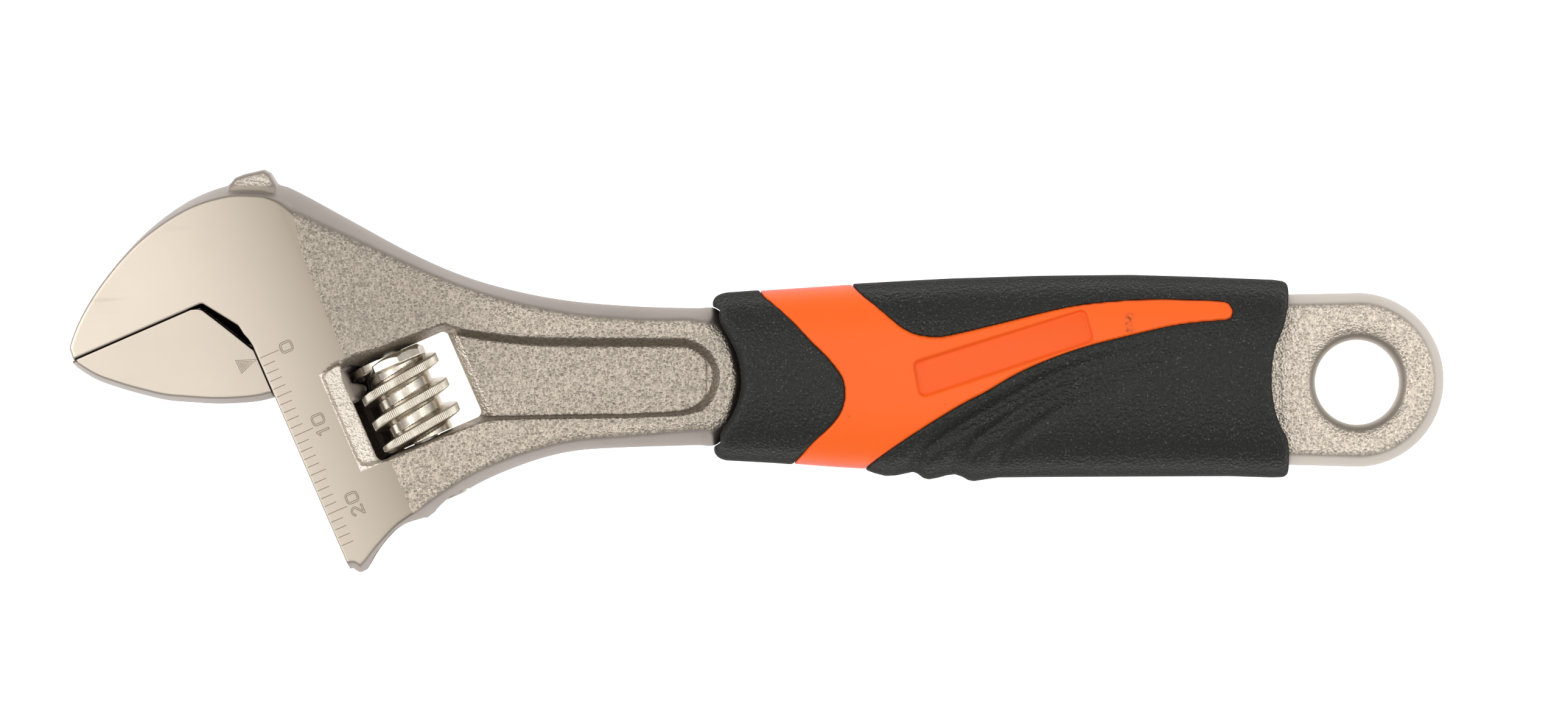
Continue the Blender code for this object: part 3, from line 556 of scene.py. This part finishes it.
def make_spring(finish):
    """The wire spring behind the worm, as a tube round a helix."""
    low, high, turns = WORM_START + 0.25, WORM_START + 2.05, 2.6
    steps = 150
    curve = bpy.data.curves.new("wire_spring", "CURVE")
    curve.dimensions = "3D"
    curve.bevel_depth = SPRING_WIRE_R * MM
    curve.bevel_resolution = 3
    curve.use_fill_caps = True
    spline = curve.splines.new("POLY")
    spline.points.add(steps)
    for step, point in enumerate(spline.points):
        share = step / steps
        angle = math.tau * turns * share
        x, y = head_xy(low + (high - low) * share, WORM_V + SPRING_R * math.cos(angle))
        point.co = (x * MM, y * MM, (MIDDLE + SPRING_R * math.sin(angle)) * MM, 1)
    piece = bpy.data.objects.new("wire_spring", curve)
    bpy.context.scene.collection.objects.link(piece)
    return finish_mesh(piece, "body", finish, ["worm_spring"])


# ---------------------------------------------------------------- grip

GRIP_TOP = (
    (-5.2, 9.0), (-3.6, 9.35), (2, 9.75), (11, 10.35), (23, 11.05), (33, 11.35), (44, 11.45),
    (53, 11.15), (60.6, 10.85), (62.6, 10.6),
)
GRIP_BOTTOM = (
    (-5.2, -10.1), (-3.6, -10.45), (2, -10.75), (9.2, -11.3), (12.6, -11.5), (13.8, -11.95),
    (15.1, -12.28), (16.3, -12.22), (17.4, -12.0), (18.3, -11.9), (18.9, -12.05), (19.6, -12.55),
    (20.2, -12.68), (21.2, -12.5), (22.3, -12.2), (23.3, -12.12), (24.1, -12.35), (24.9, -12.8),
    (25.5, -12.9), (27.0, -12.65), (28.5, -12.45), (33, -12.4), (55.5, -12.3), (60.6, -12.45),
    (62.6, -12.4),
)
GRIP_HALF = (
    (-5.2, 5.9), (-3.6, 6.4), (4, 6.9), (20, 7.25), (34, 7.4), (48, 7.35), (60.6, 6.9), (62.6, 6.6),
)
GRIP_FRONT = (
    (-5.6, 12.0), (-5.4, 8.4), (-4.5, 5.9), (-3.3, 3.9), (-2.3, 1.7), (-1.9, -0.9), (-2.15, -3.1),
    (-3.1, -5.3), (-4.4, -7.2), (-5.2, -9.4), (-5.5, -14.0),
)
GRIP_REAR = (
    (62.5, -14.0), (62.4, -8.6), (61.5, -6.5), (60.8, -4.6), (60.4, -2.1), (60.4, 0.4), (60.8, 2.9),
    (61.8, 5.3), (62.4, 8.4), (62.5, 12.0),
)
COLLAR_EDGE = (
    (0.3, 13.0), (0.35, 9.5), (1.7, 8.1), (3.1, 6.9), (4.7, 5.35), (6.3, 3.6), (7.9, 2.05), (9.2, 0.55),
    (10.05, -0.8), (10.3, -2.2), (10.2, -3.7), (9.6, -5.15), (8.5, -6.5), (6.95, -7.95), (5.5, -9.45),
    (4.0, -11.3), (3.0, -14.0),
)
SLEEVE_UPPER_EDGE = (
    (9.0, 13.0), (11.05, 10.3), (12.3, 9.0), (13.8, 7.8), (15.6, 6.25), (17.2, 5.0), (19.0, 4.25),
    (21.3, 4.05), (23.6, 4.45), (29, 5.75), (34.2, 7.05), (38, 7.8), (43, 8.3), (48, 8.45),
    (54.4, 8.25),
)
STREAK_TIP = ((55.3, 8.05), (55.8, 7.2), (55.6, 6.4), (54.9, 6.1))
SLEEVE_LOWER_EDGE = (
    (54.2, 6.1), (49.2, 5.55), (43, 4.15), (38, 2.85), (34.2, 1.5), (30.4, -0.2), (26.8, -2.3),
    (24, -3.75), (19.5, -6.5), (15.2, -9.4), (12.6, -11.5), (10.4, -14.0),
)
PLAQUE = ((19.2, 0.6), (37.95, 6.4), (38.5, 4.1), (19.65, -2.05))
# Finger grooves: the path of each valley and its depth
GROOVES = (
    (
        (
            (18.3, -12.4), (19.2, -9.8), (22.1, -7.4), (25.9, -5.2), (29.7, -3.1), (35.5, -0.2),
            (44.2, 2.4), (49.5, 3.0),
        ),
        0.66,
    ),
    (
        (
            (23.2, -12.4), (23.9, -10.2), (25.7, -8.0), (28.7, -5.9), (32.9, -3.3), (40.5, -0.1),
            (46.9, 1.9),
        ),
        0.64,
    ),
    (
        (
            (28.2, -12.4), (28.7, -10.2), (30.5, -7.8), (34.1, -5.3), (37.8, -3.2), (42.5, -1.3),
        ),
        0.5,
    ),
)
ROUNDNESS = 2.7


def grip_field(grid):
    """Distance to the grip's outer surface, before it is split into pieces."""
    x, y, s = grid.x, grid.y, grid.s
    across = y - GRIP_MIDDLE_Y
    up, down = table(x, GRIP_TOP) - GRIP_MIDDLE_Y, GRIP_MIDDLE_Y - table(x, GRIP_BOTTOM)
    reach = np.where(across > 0, up, down)
    half = table(x, GRIP_HALF)
    share_y, share_s = np.abs(across / reach) ** ROUNDNESS, np.abs(s / half) ** ROUNDNESS
    size = np.maximum(share_y + share_s, 1e-6) ** (1 / ROUNDNESS)
    slope_y = (share_y ** (1 / ROUNDNESS) / size) ** (ROUNDNESS - 1) / reach
    slope_s = (share_s ** (1 / ROUNDNESS) / size) ** (ROUNDNESS - 1) / half
    return (size - 1) / np.maximum(np.sqrt(slope_y**2 + slope_s**2), 1e-3)


def make_grip(orange, black):
    grid = Grid((-6.4, 63.4), (-13.8, 12.4), 7.9, CELL)
    x, y, s = grid.x, grid.y, grid.s
    plain = grip_field(grid)
    ends = outline_distance(x, y, [*smooth_curve(GRIP_FRONT), *smooth_curve(GRIP_REAR)])
    front = smooth_curve(COLLAR_EDGE)
    streak = [*smooth_curve(SLEEVE_UPPER_EDGE), *STREAK_TIP, *smooth_curve(SLEEVE_LOWER_EDGE)]
    collar_plan = outline_distance(x, y, [*front, (-20.0, -14.0), (-20.0, 13.0)])
    sleeve_plan = outline_distance(x, y, [*streak, (80.0, -14.0), (80.0, 13.0)])

    grooves = 0.0
    fade = 1 - smooth_step(x, 24, 50)
    inwards = smooth_step(y, -12.6, -9.5)
    for path, depth in GROOVES:
        away = path_distance(x, y, smooth_curve(path))
        valley = np.exp(-((away / GROOVE_WIDTH) ** 2))
        grooves = grooves + depth * valley * (0.25 + 0.75 * fade) * inwards
    soft = plain + grooves

    end_room = outline_distance(x, y, [*smooth_curve(HANDLE_NOSE), (-20, -9.2), (-20, 8.0)]) - 0.08
    neck_room = np.maximum(end_room, s - HANDLE_HALF - CLEARANCE)
    tang_half = TANG_HALF + CLEARANCE
    tang_room = box_distance(
        (x, y, s),
        ((-20, 90), (TANG_Y[0] - CLEARANCE, TANG_Y[1] + CLEARANCE), (-tang_half, tang_half)),
    )
    eye_room = np.maximum(ring_field(grid) - 0.1, RING_BACK - 0.2 - x)
    rooms = np.minimum(np.minimum(neck_room, tang_room), eye_room)
    hollow = np.maximum(plain + SLEEVE_WALL, np.maximum(CORE_START - x, x - CORE_END))

    end_rounding = 1.5 - 0.6 * smooth_step(x, 20, 40)
    shell = smooth_max(soft, ends, end_rounding)
    shell = np.maximum(shell, -np.minimum(hollow, rooms))
    past_seam = np.maximum(-collar_plan, -sleeve_plan)
    step = np.maximum(past_seam - SEAM_OVERLAP, plain + SEAM_DEPTH)
    collar = np.maximum(smooth_max(shell, collar_plan + SEAM_GAP, SEAM_ROUNDING), -step)
    sleeve = np.maximum(smooth_max(shell, sleeve_plan + SEAM_GAP, SEAM_ROUNDING), -step)

    plaque = outline_distance(x, y, PLAQUE) - PLAQUE_ROUNDING
    depth = 0.08 + 0.42 * smooth_step(past_seam, -0.04, 0.05) + 0.5 * smooth_step(-plaque, -0.12, 0.2)
    exposed = np.maximum(smooth_max(plain + depth, ends, end_rounding), past_seam - 0.8)
    buried = np.maximum(hollow + 0.12, ends)
    core = np.maximum(np.minimum(exposed, buried), -rooms)

    pieces = (
        ("orange_core", core, "grip_hard", orange, "grip_core"),
        ("black_collar", collar, "grip_soft", black, "grip_collar"),
        ("black_sleeve", sleeve, "grip_soft", black, "grip_sleeve"),
    )
    for name, field, slot, finish, node in pieces:
        finish_mesh(solid(name, field, grid), "body", finish, [node])


# ---------------------------------------------------------------- etched scale


def stroke(points, width, closed=False):
    """A ribbon along a path, as (points, faces) with the path's own coordinates."""
    points = [np.array(p, float) for p in points]
    count = len(points)
    sides = []
    for index, point in enumerate(points):
        before = points[index - 1] if closed or index else point
        after = points[(index + 1) % count] if closed or index < count - 1 else point
        arriving = point - before if (point != before).any() else after - point
        leaving = after - point if (after != point).any() else arriving
        normals = [np.array((-d[1], d[0])) / np.hypot(*d) for d in (arriving, leaving)]
        mitre = normals[0] + normals[1]
        mitre *= width / max(float(mitre @ normals[0]), 0.3) / 2
        sides += [point + mitre, point - mitre]
    spans = count if closed else count - 1
    return sides, [tuple((2 * i + k) % len(sides) for k in (0, 1, 3, 2)) for i in range(spans)]


def digit_paths(digit):
    """Closed outlines of a digit 1 wide and 1.35 high, drawn as the scale's hollow digits are."""
    if digit == "0":
        rings = []
        for grow in (0.0, -0.16):
            half_w, half_h = 0.5 + grow, 0.68 + grow
            right = arc((half_w - 0.36 - grow, half_h - 0.36 - grow), 0.36 + grow, 0, 90, 6)
            quarter = [*right, *[(-a, b) for a, b in reversed(right)]]
            rings.append([*quarter, *[(-a, -b) for a, b in quarter]])
        return rings
    if digit == "1":
        flag = [(-0.02, 0.68), (-0.32, 0.42), (-0.22, 0.32), (-0.04, 0.46)]
        return [[(0.12, -0.68), (0.12, 0.68), *flag, (-0.04, -0.68)]]
    upper = arc((0.0, 0.26), 0.42, 165, -35, 9)
    inner = arc((0.0, 0.26), 0.27, -35, 165, 8)
    return [[*upper, (-0.2, -0.52), (0.42, -0.52), (0.42, -0.68), (-0.45, -0.68), (-0.45, -0.56), *inner]]


def raised_marks(name, strokes, body, finish):
    """A thin inlay of all the strokes, given in u and v, on the head's upper face."""
    points, faces = [], []
    for sides, quads in strokes:
        start = len(points)
        count = len(sides)
        for s in (HEAD_HALF - MARK_SUNK, HEAD_HALF + MARK_PROUD):
            points += [(*head_xy(*side), s) for side in sides]
        for quad in quads:
            faces.append(tuple(start + count + i for i in quad))
            faces.append(tuple(start + i for i in reversed(quad)))
        walls = [pair for quad in quads for pair in ((quad[3], quad[0]), (quad[1], quad[2]))]
        if len(quads) < count // 2:
            walls += [(0, 1), (count - 1, count - 2)]
        for near, far in walls:
            faces.append((start + near, start + far, start + count + far, start + count + near))
    piece = new_object(name, points, faces, 30)
    return finish_mesh(piece, body, finish)


def make_scale(finish):
    strokes = []
    for tick in range(25):
        length = 2.45 if tick % 10 == 0 else 1.9 if tick % 5 == 0 else 1.5
        strokes.append(stroke([(tick, 0.22), (tick, 0.22 + length)], TICK_WIDTH))
    for digit, middle in (("0", 0.0), ("1", 10.78), ("0", 9.3), ("2", 20.95), ("0", 19.3)):
        for path in digit_paths(digit):
            placed = [(middle - 1.3 * across, 3.6 - 1.12 * up) for across, up in path]
            strokes.append(stroke(placed, DIGIT_WIDTH, closed=True))
    raised_marks("scale_marks", strokes, "body", finish)
    corners = [np.array(p) for p in ((-0.03, -0.25), (-0.9, -2.5), (0.77, -2.46))]
    sides = [np.linalg.norm(corners[i - 1] - corners[i - 2]) for i in range(3)]
    centre = sum(side * corner for side, corner in zip(sides, corners)) / sum(sides)
    shares = (1.0, 0.7, 0.42, 0.18)
    nested = [[centre + (corner - centre) * share for corner in corners] for share in shares]
    pointer = [stroke(ring, POINTER_WIDTH, closed=True) for ring in nested]
    raised_marks("jaw_pointer", pointer, "jaw", finish)


# ---------------------------------------------------------------- materials


class Shader:
    """A material's node tree, built one node at a time."""

    def __init__(self, name, **sockets):
        self.material = bpy.data.materials.new(name)
        self.material.use_nodes = True
        self.tree = self.material.node_tree
        self.principled = self.tree.nodes["Principled BSDF"]
        self.set(self.principled, sockets)
        self.coordinates = self.tree.nodes.new("ShaderNodeTexCoord")
        self.place = self.coordinates.outputs["Object"]
        self.normal = self.coordinates.outputs["Normal"]

    def set(self, node, sockets):
        for name, value in sockets.items():
            socket = node.inputs[int(name[1:])] if name[0] == "_" else node.inputs[name.replace("_", " ")]
            if isinstance(value, bpy.types.NodeSocket):
                self.tree.links.new(value, socket)
            else:
                socket.default_value = value

    def node(self, kind, settings=(), **sockets):
        node = self.tree.nodes.new("ShaderNode" + kind)
        for name, value in dict(settings).items():
            setattr(node, name, value)
        self.set(node, sockets)
        return node

    def math(self, operation, first, second=0.5):
        node = self.node("Math", {"operation": operation}, _0=first, _1=second)
        return node.outputs[0]

    def dot(self, vector, direction):
        node = self.node("VectorMath", {"operation": "DOT_PRODUCT"}, _0=vector, _1=direction)
        return node.outputs["Value"]

    def between(self, value, low, high):
        """0 below low, 1 above high and a smooth change between them."""
        settings = {"interpolation_type": "SMOOTHSTEP", "clamp": True}
        node = self.node("MapRange", settings, Value=value, From_Min=low, From_Max=high)
        return node.outputs[0]

    def noise(self, scale, detail=2.0, roughness=0.5, stretch=(1, 1, 1), turn=0.0):
        """Noise with features about 1/scale metres across."""
        mapped = self.node("Mapping", (), Vector=self.place, Scale=stretch, Rotation=(0, 0, turn))
        mapped = mapped.outputs[0]
        node = self.node("TexNoise", (), Vector=mapped, Scale=scale, Detail=detail, Roughness=roughness)
        return node.outputs["Fac"]

    def mix(self, share, first, second):
        node = self.node("Mix", {"data_type": "RGBA"}, _0=share, _6=first, _7=second)
        return node.outputs[2]

    def tint(self, color, share, amount, toward):
        """The colour moved towards another one, by amount where share is 1."""
        return self.mix(self.math("MULTIPLY", share, amount), color, toward)

    def bump(self, height, depth, strength=1.0):
        node = self.node("Bump", (), Height=height, Distance=depth * MM, Strength=strength)
        return node.outputs[0]

    def finish(self, **sockets):
        self.set(self.principled, sockets)
        return self.material


def inside_box(shader, first, first_range, second, second_range, soft):
    """1 inside a rectangle of two coordinates, in metres."""
    share = None
    for value, (low, high) in ((first, first_range), (second, second_range)):
        near = shader.between(value, (low - soft) * MM, low * MM)
        far = shader.between(value, (high + soft) * MM, high * MM)
        both = shader.math("MULTIPLY", near, far)
        share = both if share is None else shader.math("MULTIPLY", share, both)
    return share


def head_coordinates(shader):
    """u and v of the head frame in metres, as node outputs."""
    sockets = []
    for direction in (U_DIRECTION, V_DIRECTION):
        offset = (HEAD_ORIGIN[0] * direction[0] + HEAD_ORIGIN[1] * direction[1]) * MM
        along = shader.dot(shader.place, (*direction, 0))
        sockets.append(shader.math("SUBTRACT", along, offset))
    return sockets


def forging_material(name, is_jaw=False):
    """Satin nickel: ground faces with a fine grain, shot-blasted faces and smooth drafted sides."""
    shader = Shader(name, Metallic=1.0)
    x = shader.dot(shader.place, (1, 0, 0))
    y = shader.dot(shader.place, (0, 1, 0))
    z = shader.dot(shader.place, (0, 0, 1))
    u, v = head_coordinates(shader)
    upright = shader.math("ABSOLUTE", shader.dot(shader.normal, (0, 0, 1)))
    side = shader.between(upright, 0.9, 0.66)
    flat_share = shader.math("SUBTRACT", 1.0, side)
    if is_jaw:
        cast = shader.math("MULTIPLY", 0.0, side)
    else:
        level = shader.between(upright, 0.97, 0.995)
        window = inside_box(shader, u, (3.4, 17.6), v, (5.6, 23.0), 0.1)
        panel = inside_box(shader, x, (-38.0, -3.9), y, (-5.9, 4.6), 0.1)
        walls = shader.math("MULTIPLY", window, shader.math("SUBTRACT", 1.0, level))
        ledge = inside_box(shader, u, (4.6, 16.9), v, (5.8, 8.4), 0.1)
        walls = shader.math("MAXIMUM", ledge, shader.math("MAXIMUM", walls, panel))
        side = shader.math("MULTIPLY", side, shader.math("SUBTRACT", 1.0, walls))
        flat_share = shader.math("SUBTRACT", 1.0, side)
        crest = shader.between(y, 21.5 * MM, 22.3 * MM)
        bend = shader.math("MAXIMUM", 0.0, shader.math("SUBTRACT", -5.0 * MM, u))
        bend = shader.math("MULTIPLY", 15.0, shader.math("MULTIPLY", bend, bend))
        ragged = shader.math("MULTIPLY", 0.45 * MM, shader.noise(1100, 3, 0.7))
        past_edge = shader.math("ADD", shader.math("SUBTRACT", v, bend), ragged)
        behind = shader.between(past_edge, (GROUND_EDGE + 0.3) * MM, (GROUND_EDGE + 0.38) * MM)
        cast = shader.math("MAXIMUM", shader.math("MAXIMUM", walls, behind), crest)
        cast = shader.math("MULTIPLY", cast, flat_share)

    pits = shader.noise(4200, 1, 0.4)
    lumps = shader.noise(2300, 1, 0.5)
    blasted = shader.math("ADD", pits, lumps)
    grain = shader.noise(2600, 3, 0.6, (0.07, 1.0, 1.0), math.radians(-12))
    blotch = shader.noise(120, 3, 0.6)
    scratches = shader.between(shader.noise(420, 1, 0.4, (0.12, 1, 1), math.radians(-20)), 0.70, 0.76)

    # Painted reflection: the flat ground face is drawn bright towards the jaw's tip and darker towards the
    # cast edge.
    far = shader.node("MapRange", {"clamp": True}, Value=v, From_Min=-13 * MM, From_Max=9.5 * MM).outputs[0]
    bright = (0.60, 0.53, 0.447, 1) if is_jaw else (0.65, 0.575, 0.487, 1)
    tone = shader.mix(shader.math("POWER", far, 2.0), bright, (0.33, 0.282, 0.228, 1))
    tone = shader.tint(tone, grain, 0.10, (0.40, 0.35, 0.29, 1))
    tone = shader.tint(tone, blotch, 0.12, (0.52, 0.46, 0.38, 1))
    tone = shader.tint(tone, scratches, 0.25, (0.34, 0.30, 0.25, 1))
    near_eye = shader.between(x, -0.005, 0.07)
    sides = shader.tint((0.32, 0.281, 0.256, 1), blotch, 0.5, (0.236, 0.205, 0.184, 1))
    sides = shader.tint(sides, near_eye, 0.7, (0.52, 0.475, 0.42, 1))
    pale = shader.mix(near_eye, (0.63, 0.551, 0.457, 1), (0.79, 0.70, 0.593, 1))
    brown = shader.mix(near_eye, (0.32, 0.28, 0.23, 1), (0.45, 0.396, 0.332, 1))
    rough_tone = shader.mix(shader.between(blasted, 0.64, 1.28), brown, pale)
    shade = shader.math("MULTIPLY", shader.between(y, -0.006, 0.006), shader.between(x, -0.024, -0.04))
    rough_tone = shader.tint(rough_tone, shade, 0.35, (0.22, 0.192, 0.158, 1))
    if not is_jaw:
        # Painted shade: the sunk panel is drawn darker, and its steep walls darker still.
        steep = shader.math("MULTIPLY", panel, shader.between(upright, 0.97, 0.8))
        rough_tone = shader.tint(rough_tone, steep, 0.4, (0.12, 0.10, 0.08, 1))
        rough_tone = shader.tint(rough_tone, panel, 0.14, (0.25, 0.225, 0.195, 1))
        # Painted highlights: the window's ledge, the slope at the window's far end and the crown's top edge
        # are drawn paler, as if lit by the softboxes.
        slope = inside_box(shader, u, (6.0, 16.4), v, (21.4, 22.4), 0.2)
        ledge = shader.math("MAXIMUM", ledge, slope)
        rough_tone = shader.tint(rough_tone, ledge, 0.75, (0.92, 0.84, 0.74, 1))
        rough_tone = shader.tint(rough_tone, crest, 0.6, (0.80, 0.72, 0.63, 1))
    color = shader.mix(side, shader.mix(cast, tone, rough_tone), sides)
    # The throat's steep walls: on the body they are drawn near black below, as painted shade; on the jaw
    # they are drawn dark brown, together with the clamp face.
    throat = inside_box(shader, u, (-8.8, -1.3), v, (-5.3, 0.1), 0.02)
    throat = shader.math("MULTIPLY", throat, shader.between(upright, 0.9, 0.7))
    if is_jaw:
        clamp = inside_box(shader, u, (-8.9, -8.2), v, (-23.0, -4.0), 0.02)
        throat = shader.math("MAXIMUM", throat, clamp)
        throat = shader.math("MULTIPLY", throat, shader.between(upright, 0.995, 0.93))
        color = shader.mix(throat, color, (0.10, 0.065, 0.045, 1))
    else:
        # Painted shade: low in the window, under the rod and the worm, the walls are drawn near black, as
        # are the body's throat walls.
        painted_window_shade = inside_box(shader, u, (4.0, 17.6), v, (7.9, 12.0), 0.3)
        painted_window_shade = shader.math("MULTIPLY", painted_window_shade, shader.between(z, 5.4 * MM, 4.4 * MM))
        color = shader.mix(shader.math("MAXIMUM", painted_window_shade, throat), color, (0.025, 0.02, 0.016, 1))

    smooth = shader.bump(grain, 0.0035, 0.7)
    relief = shader.bump(blasted, 0.13, 1.0)
    side_relief = shader.bump(shader.noise(500, 3, 0.6), 0.008, 0.6)
    normal = shader.mix(side, shader.mix(cast, smooth, relief), side_relief)
    roughness = shader.math("ADD", 0.34, shader.math("MULTIPLY", blotch, 0.12))
    roughness = shader.math("ADD", roughness, shader.math("MULTIPLY", side, 0.14))
    roughness = shader.math("ADD", roughness, shader.math("MULTIPLY", cast, 0.09))
    return shader.finish(Base_Color=color, Roughness=roughness, Normal=normal)


def worm_material():
    """Polished steel with turning marks round the axis."""
    shader = Shader("polished_worm", Metallic=1.0)
    u, _ = head_coordinates(shader)
    rings = shader.node("TexNoise", {"noise_dimensions": "1D"}, W=u, Scale=9000.0, Detail=2.0)
    rings = rings.outputs["Fac"]
    blotch = shader.noise(600, 3, 0.6)
    color = shader.mix(shader.between(blotch, 0.35, 0.7), (0.66, 0.61, 0.53, 1), (0.50, 0.45, 0.37, 1))
    roughness = shader.math("ADD", 0.16, shader.math("MULTIPLY", blotch, 0.14))
    return shader.finish(Base_Color=color, Roughness=roughness, Normal=shader.bump(rings, 0.003, 0.6))


def plain_steel():
    shader = Shader("plain_steel", Metallic=1.0)
    blotch = shader.noise(900, 3, 0.6)
    color = shader.mix(blotch, (0.52, 0.48, 0.42, 1), (0.34, 0.31, 0.27, 1))
    roughness = shader.math("ADD", 0.28, shader.math("MULTIPLY", blotch, 0.2))
    return shader.finish(Base_Color=color, Roughness=roughness, Normal=shader.bump(blotch, 0.01))


def etched_material():
    shader = Shader("etched_marks", Metallic=0.2)
    blotch = shader.noise(1500, 2, 0.6)
    color = shader.mix(blotch, (0.27, 0.215, 0.155, 1), (0.20, 0.16, 0.115, 1))
    roughness = shader.math("ADD", 0.5, shader.math("MULTIPLY", blotch, 0.2))
    return shader.finish(Base_Color=color, Roughness=roughness)


def orange_material():
    """Satin orange plastic with painted shade, redder and darker where it turns away to the sides and on
    the plaque's sunk floor, with a few specks and a smudge.
    """
    shader = Shader("orange_plastic", Specular_IOR_Level=0.3)
    upright = shader.math("ABSOLUTE", shader.dot(shader.normal, (0, 0, 1)))
    blotch = shader.noise(90, 3, 0.6)
    base = shader.mix(blotch, (1.0, 0.142, 0.014, 1), (0.97, 0.128, 0.010, 1))
    # Painted shade: redder and darker where the surface turns away to the sides.
    color = shader.mix(shader.between(upright, 0.55, 0.15), base, (0.80, 0.085, 0.022, 1))
    specks = shader.between(shader.noise(700, 1, 0.3), 0.76, 0.80)
    color = shader.tint(color, specks, 0.5, (0.25, 0.05, 0.02, 1))
    x = shader.dot(shader.place, (1, 0, 0))
    y = shader.dot(shader.place, (0, 1, 0))
    along = shader.dot(shader.place, (0.955, 0.296, 0))
    across = shader.dot(shader.place, (-0.296, 0.955, 0))
    # Painted shade: the plaque's sunk floor on the upper half is drawn a darker, deeper orange.
    plaque_shade = inside_box(shader, along, (17.6, 38.8), across, (-8.3, -4.4), 0.1)
    upper_half = shader.between(shader.dot(shader.place, (0, 0, 1)), 0.007, 0.009)
    plaque_shade = shader.math("MULTIPLY", plaque_shade, upper_half)
    color = shader.tint(color, plaque_shade, 0.6, (0.90, 0.105, 0.011, 1))
    smudge = inside_box(shader, x, (43.45, 43.75), y, (4.9, 6.7), 0.5)
    smudge = shader.math("MULTIPLY", smudge, shader.between(shader.noise(1800, 3, 0.7), 0.42, 0.62))
    color = shader.tint(color, smudge, 0.75, (0.16, 0.03, 0.015, 1))
    grain = shader.noise(3000, 2, 0.5)
    roughness = shader.math("ADD", 0.42, shader.math("MULTIPLY", blotch, 0.1))
    return shader.finish(Base_Color=color, Roughness=roughness, Normal=shader.bump(grain, 0.004, 0.5))


def black_material():
    """Soft black grip with a fine leather-like grain and pale dust specks."""
    shader = Shader("black_soft_grip", Specular_IOR_Level=0.34)
    cells = shader.node("TexVoronoi", {"feature": "SMOOTH_F1"}, Vector=shader.place, Scale=3000.0)
    cells = cells.outputs["Distance"]
    pores = shader.noise(3600, 3, 0.65)
    grain = shader.math("ADD", cells, shader.math("MULTIPLY", pores, 0.8))
    blotch = shader.noise(70, 3, 0.6)
    base = shader.mix(blotch, (0.0075, 0.008, 0.0065, 1), (0.0125, 0.013, 0.011, 1))
    specks = shader.between(shader.noise(4600, 2, 0.5), 0.62, 0.70)
    color = shader.tint(base, specks, 0.45, (0.15, 0.15, 0.135, 1))
    upright = shader.math("ABSOLUTE", shader.dot(shader.normal, (0, 0, 1)))
    roughness = shader.math("ADD", 0.34, shader.math("MULTIPLY", blotch, 0.15))
    steep = shader.between(upright, 0.8, 0.3)
    roughness = shader.math("ADD", roughness, shader.math("MULTIPLY", steep, 0.5))
    return shader.finish(Base_Color=color, Roughness=roughness, Normal=shader.bump(grain, 0.12, 1.0))


# ---------------------------------------------------------------- studio


def make_stage():
    """A pale floor under the wrench, wide enough for low views."""
    size = 6.0
    mesh = bpy.data.meshes.new("studio_floor")
    corners = [(-size, -size, 0), (size, -size, 0), (size, size, 0), (-size, size, 0)]
    mesh.from_pydata(corners, [], [(0, 1, 2, 3)])
    floor = bpy.data.objects.new("studio_floor", mesh)
    bpy.context.scene.collection.objects.link(floor)
    shader = Shader("white_floor", Roughness=0.9, Specular_IOR_Level=0.1)
    shader.finish(Base_Color=(0.92, 0.92, 0.92, 1), Emission_Color=(1, 1, 1, 1), Emission_Strength=0.8)
    mesh.materials.append(shader.material)


def soft_light(name, place, target, size, radiance, color=(1, 1, 1)):
    """A rectangular soft light; radiance is how bright its surface looks, where a white page is 1."""
    light = bpy.data.lights.new(name, "AREA")
    light.shape = "RECTANGLE"
    light.size, light.size_y = size
    light.energy = radiance * math.pi * size[0] * size[1]
    light.color = color
    lamp = bpy.data.objects.new(name, light)
    bpy.context.scene.collection.objects.link(lamp)
    lamp.location = place
    direction = Vector(target) - Vector(place)
    lamp.rotation_euler = direction.to_track_quat("-Z", "Y").to_euler()
    return lamp


def make_studio():
    scene = bpy.context.scene
    scene.view_settings.view_transform = "Standard"
    world = bpy.data.worlds.new("studio_world")
    world.use_nodes = True
    world.node_tree.nodes["Background"].inputs["Color"].default_value = (1, 1, 1, 1)
    world.node_tree.nodes["Background"].inputs["Strength"].default_value = 0.42
    scene.world = world
    soft_light("left_softbox", (-0.62, 0.05, 0.62), (-0.02, 0, 0), (0.5, 0.9), 2.3)
    soft_light("right_softbox", (0.62, 0.05, 0.62), (0.02, 0, 0), (0.5, 0.9), 1.8)
    soft_light("top_softbox", (0.0, 0.12, 1.5), (0, 0, 0), (1.6, 1.0), 0.9)


def make_camera():
    """A long lens straight above the wrench, framing 184 mm across at the head's upper face."""
    camera = bpy.data.cameras.new("camera")
    camera.sensor_width = 36.0
    distance, frame_width = 1.4, 0.184
    camera.lens = camera.sensor_width * distance / frame_width
    camera.clip_start, camera.clip_end = 0.05, 50.0
    piece = bpy.data.objects.new("camera", camera)
    piece.location = (3.14 * MM, 1.68 * MM, (MIDDLE + HEAD_HALF) * MM + distance)
    bpy.context.scene.collection.objects.link(piece)
    bpy.context.scene.camera = piece


# ---------------------------------------------------------------- build

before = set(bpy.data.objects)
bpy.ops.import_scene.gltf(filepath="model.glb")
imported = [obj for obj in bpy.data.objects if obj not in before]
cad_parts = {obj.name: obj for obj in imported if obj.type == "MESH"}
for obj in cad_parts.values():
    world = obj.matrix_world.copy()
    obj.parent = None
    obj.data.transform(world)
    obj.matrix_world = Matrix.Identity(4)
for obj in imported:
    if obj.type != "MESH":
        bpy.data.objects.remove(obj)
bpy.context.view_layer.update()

make_camera()
make_studio()
make_stage()

steel = plain_steel()
make_body(forging_material("satin_nickel_body"))
make_jaw(forging_material("satin_nickel_jaw", is_jaw=True))
make_worm(worm_material())
make_pin(steel)
make_spring(steel)
make_grip(orange_material(), black_material())
make_scale(etched_material())
